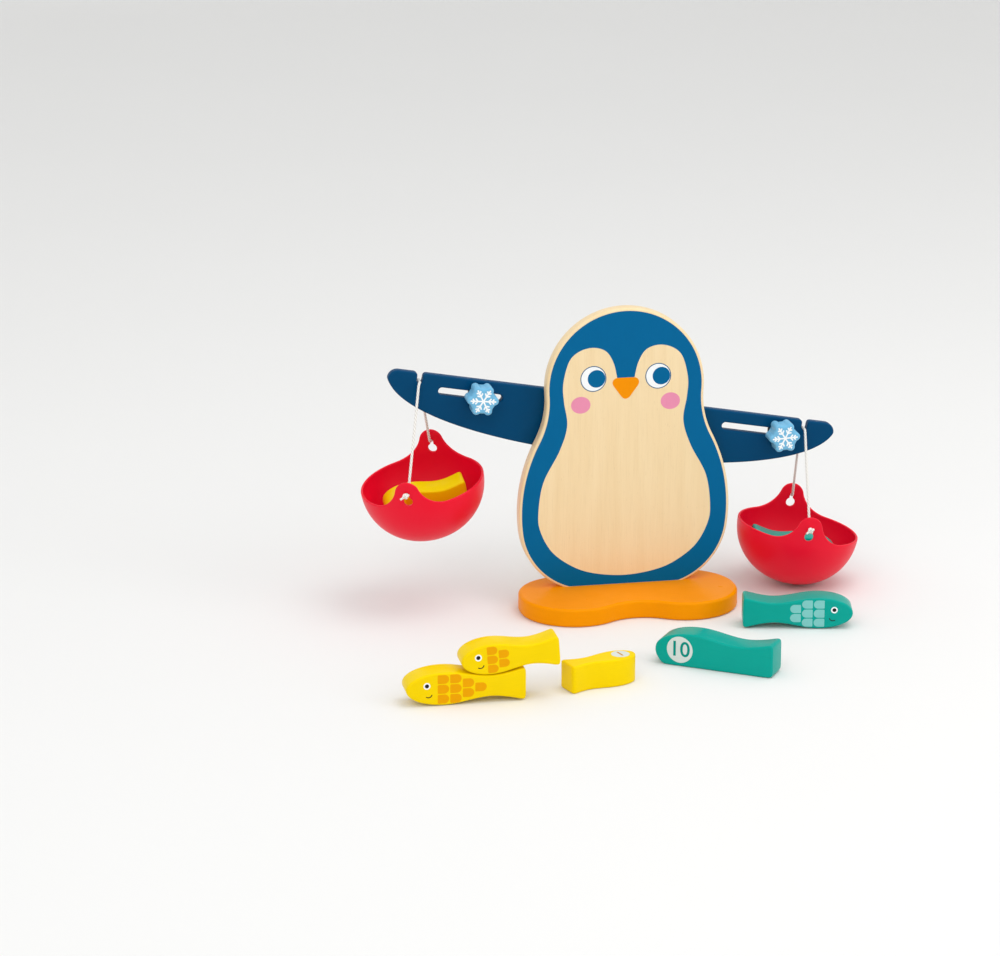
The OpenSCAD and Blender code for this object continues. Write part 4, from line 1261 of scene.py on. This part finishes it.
class SCALETOY_OT_knobs(bpy.types.Operator):
    """Builds the two snowflake knobs and their print"""

    bl_idname = "scaletoy.knobs"
    bl_label = "Snowflake knobs"

    def execute(self, context):
        b, stand = context.scene.scale_beam, context.scene.scale_stand
        c, p = context.scene.scale_colours, context.scene.scale_print
        paint = painted_wood("ice_blue_paint", c.knob, "W", 0.36, 0.3)
        ink = screen_ink("snow_screen_ink", c.snow)
        for side in SIDES:
            low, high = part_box(f"{side}_snowflake_knob")
            at = -b.left_slider_at if side == "left" else b.right_slider_at
            spin = turn("Y", b.tilt)
            origin = spin @ np.array([at, 0, -b.hub_rise - b.slot_drop]) + [0, low.y, stand.pivot_z]
            spin = spin @ turn("Y", b.left_knob_turn if side == "left" else b.right_knob_turn)
            seat = (origin, spin[:, 0], spin[:, 2])
            pits = [(wound(disc((0, 0), b.peg_d / 2, 40), False), b.peg_seat)]
            solid = slab([wound(knob_outline(b))], high.y - low.y, b.knob_edge, pits=pits)
            body, slot = f"{side}_knob", "ice_paint"
            lay_plate(f"{side}_knob", solid, seat, paint, body, f"{side}_snowflake_knob")
            flake = printed([([snowflake_outline(p)], p.ink, ink)], seat)
            make_piece(f"{side}_snowflake_print", flake, body)
        return {"FINISHED"}


# The keyhole cutter's edge, and its length as a share of a bucket's diameter
CUT_EDGE, CUT_REACH = 0.01 * MM, 1.3


class SCALETOY_OT_buckets(bpy.types.Operator):
    """Builds the two red buckets"""

    bl_idname = "scaletoy.buckets"
    bl_label = "Buckets"

    def execute(self, context):
        k = context.scene.scale_buckets
        plastic = moulded_polypropylene("red_polypropylene", context.scene.scale_colours.bucket)
        points, quads, tris = bucket_shell(k)
        r, w = k.key_d / 2, k.key_slot_w / 2
        fall = math.asin(w / r)
        keyhole = np.vstack([
            arc((0, 0), w, 0, math.pi, 14),
            arc((0, -k.key_len), r, math.pi / 2 + fall, math.pi / 2 - fall + 2 * math.pi, 40),
        ])
        reach = CUT_REACH * k.bucket_d
        cutting = slab([wound(keyhole)], reach, CUT_EDGE, steps=1, flat=CUT_EDGE)
        across = ((0, -reach / 2, 0), (1, 0, 0), (0, 0, 1))
        for side in SIDES:
            spin, place = bucket_frame(context, side)
            body, slot = f"{side}_bucket", "red_plastic"
            shell = [(points, quads, tris, points, plastic)]
            bowl = make_piece(f"{side}_red_bucket", shell, body)
            cutter = lay_plate("keyhole_cutter", cutting, across, plastic, body, None)
            punch = bowl.modifiers.new("keyholes", "BOOLEAN")
            punch.object = cutter
            punch.solver = "EXACT"
            context.view_layer.update()
            cut = bowl.evaluated_get(context.evaluated_depsgraph_get())
            pierced = bpy.data.meshes.new_from_object(cut)
            bowl.modifiers.clear()
            bowl.data = pierced
            bpy.data.objects.remove(cutter)
            pierced.transform(pose(spin, place))
            pierced.set_sharp_from_angle(angle=SMOOTH)
            settle(bowl, body, f"{side}_bucket")
        return {"FINISHED"}


# The flat rim inside a fish's rounded edge
FISH_FLAT = 0.1 * MM
# How far the smile lies below the eye, as a share of the fish's height
SMILE_DROP = 0.35
# The number: its place as a share of the length from the nose, and as shares of its disc's radius the size
# of one digit, the size of two and how much bolder they are
NUMBER_AT, DIGIT_SIZE, TENS_SIZE, DIGIT_BOLD = 0.215, 1.75, 1.62, 0.02


class SCALETOY_OT_fish(bpy.types.Operator):
    """Builds the ten numbered fish weights and their print"""

    bl_idname = "scaletoy.fish"
    bl_label = "Fish weights"

    def execute(self, context):
        f, c = context.scene.scale_fish, context.scene.scale_colours
        teal = painted_wood("teal_paint", c.teal, "U", 0.34, 0.4)
        yellow = painted_wood("yellow_paint", c.yellow, "U", 0.34, 0.25)
        tints = {
            "pale_scale": c.teal_print,
            "orange_scale": c.yellow_print,
            "teal_digit": shade(c.teal, 0.75),
            "brown_digit": shade(c.yellow_print, 0.7),
            "fish_eye": c.eye_white,
            "dark_line": c.line,
            "number_disc": c.disc,
        }
        inks = {key: screen_ink(f"{key}_ink", tint, "U") for key, tint in tints.items()}
        for n in FISH:
            odd = n % 2
            body, slot = f"fish_{n}", "yellow_paint" if odd else "teal_paint"
            spin, place = fish_frame(context, n)
            half = spin @ np.array([0, f.fish_t / 2, 0])
            front = (place - half, spin[:, 0], spin[:, 2])
            back = (place + half, -spin[:, 0], spin[:, 2])
            edge = wound(fish_outline(f, n) * (1 if odd else -1, 1))
            solid = slab([edge], f.fish_t, f.fish_edge, flat=FISH_FLAT)
            lay_plate(f"fish_{n}_block", solid, front, yellow if odd else teal, body, f"fish_{n}")
            shapes = printed(self.face(context, n, inks), front) + self.number(context, n, back, inks)
            make_piece(f"fish_{n}_print", shapes, body)
        return {"FINISHED"}

    def face(self, context, n, inks):
        """The front print: scales, eye, pupil and smile. Odd fish look to the left and even ones to the
        right."""
        f, p = context.scene.scale_fish, context.scene.scale_print
        long, high = fish_size(f, n)
        eye = np.array([(EYE_AT - 0.5) * long, EYE_UP * high])
        smile = smile_outline(eye + [p.smile_x, -SMILE_DROP * high], p.smile_w, p.smile_line)
        scales = inks["orange_scale" if n % 2 else "pale_scale"]
        layers = [(loop, p.ink, scales) for loop in scale_outlines(f, n)]
        layers += [
            (disc(eye, p.fish_eye_r, 40), p.ink, inks["fish_eye"]),
            (disc(eye, p.fish_pupil_r, 32), 1.5 * p.ink, inks["dark_line"]),
            (smile, p.ink, inks["dark_line"]),
        ]
        flip = (1 if n % 2 else -1, 1)
        return [([wound(loop * flip)], proud, ink) for loop, proud, ink in layers]

    def number(self, context, n, seat, inks):
        """The number's disc on the back face, and the digits on it as filled outlines of Blender's own
        font."""
        f, p = context.scene.scale_fish, context.scene.scale_print
        x = (0.5 - NUMBER_AT) * fish_size(f, n)[0] * (1 if n % 2 else -1)
        r = (f.disc_d + f.disc_step * (n - 1)) / 2
        shapes = printed([([disc((x, 0), r)], p.ink, inks["number_disc"])], seat)
        words = bpy.data.curves.new("digits", "FONT")
        words.body = str(n)
        words.align_x, words.align_y = "CENTER", "CENTER"
        words.size = DIGIT_SIZE * r if n < 10 else TENS_SIZE * r
        words.offset = DIGIT_BOLD * r
        words.extrude = 0.5 * p.ink
        words.resolution_u = 6
        holder = bpy.data.objects.new("digits", words)
        context.scene.collection.objects.link(holder)
        filled = holder.evaluated_get(context.evaluated_depsgraph_get())
        mesh = bpy.data.meshes.new_from_object(filled)
        mesh.calc_loop_triangles()
        points = np.empty(3 * len(mesh.vertices))
        mesh.vertices.foreach_get("co", points)
        points = points.reshape(-1, 3) * (1, 1, -1) + [x, 0, -p.ink]
        tris = np.empty(3 * len(mesh.loop_triangles), np.int32)
        mesh.loop_triangles.foreach_get("vertices", tris)
        bpy.data.objects.remove(holder)
        ink = inks["brown_digit" if n % 2 else "teal_digit"]
        shapes.append((set_on(points, *seat), np.empty((0, 4), int), tris.reshape(-1, 3), points, ink))
        return shapes


class SCALETOY_OT_fittings(bpy.types.Operator):
    """Finishes the pegs, washers, felts and screws that stay as the CAD made them"""

    bl_idname = "scaletoy.fittings"
    bl_label = "Pegs, washers, felts and screws"

    def execute(self, context):
        c = context.scene.scale_colours
        peg = lacquered_wood("turned_beech", c.wood, c.wood_dark, "V", lie=False)
        felt = pressed_felt("pressed_felt", c.felt)
        finishes = dict.fromkeys(("pivot_peg", "front_washer", "rear_washer"), peg)
        finishes["base_screws"] = zinc_plated_steel("zinc_steel")
        for side in SIDES:
            finishes.update({f"{side}_slide_peg": peg, f"{side}_front_felt": felt, f"{side}_rear_felt": felt})
        for node, finish in finishes.items():
            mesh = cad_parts[node].data
            mesh.materials.clear()
            mesh.materials.append(finish)
        return {"FINISHED"}


class SCALETOY_PT_panel(bpy.types.Panel):
    """Lists the steps that dress the balance scale"""

    bl_idname = "SCALETOY_PT_panel"
    bl_label = "Balance scale"
    bl_space_type = "VIEW_3D"
    bl_region_type = "UI"
    bl_category = "Balance scale"

    def draw(self, context):
        for step in STEPS:
            self.layout.operator(step.bl_idname)


GROUPS = {
    "scale_stand": StandSizes,
    "scale_beam": BeamSizes,
    "scale_buckets": BucketSizes,
    "scale_fish": FishSizes,
    "scale_print": PrintSizes,
    "scale_colours": Colours,
    "scale_stage": StageSizes,
}
STEPS = (
    SCALETOY_OT_stage,
    SCALETOY_OT_cords,
    SCALETOY_OT_feet,
    SCALETOY_OT_board,
    SCALETOY_OT_beam,
    SCALETOY_OT_knobs,
    SCALETOY_OT_buckets,
    SCALETOY_OT_fish,
    SCALETOY_OT_fittings,
)


def register():
    for group in GROUPS.values():
        bpy.utils.register_class(group)
    for name, group in GROUPS.items():
        setattr(bpy.types.Scene, name, bpy.props.PointerProperty(type=group))
    for step in STEPS:
        bpy.utils.register_class(step)
    bpy.utils.register_class(SCALETOY_PT_panel)


def unregister():
    bpy.utils.unregister_class(SCALETOY_PT_panel)
    for step in reversed(STEPS):
        bpy.utils.unregister_class(step)
    for name in GROUPS:
        delattr(bpy.types.Scene, name)
    for group in reversed(GROUPS.values()):
        bpy.utils.unregister_class(group)


def main():
    register()
    bpy.ops.scaletoy.stage()
    bpy.ops.scaletoy.cords()
    bpy.ops.scaletoy.feet()
    bpy.ops.scaletoy.board()
    bpy.ops.scaletoy.beam()
    bpy.ops.scaletoy.knobs()
    bpy.ops.scaletoy.buckets()
    bpy.ops.scaletoy.fish()
    bpy.ops.scaletoy.fittings()


if __name__ == "__main__":
    main()
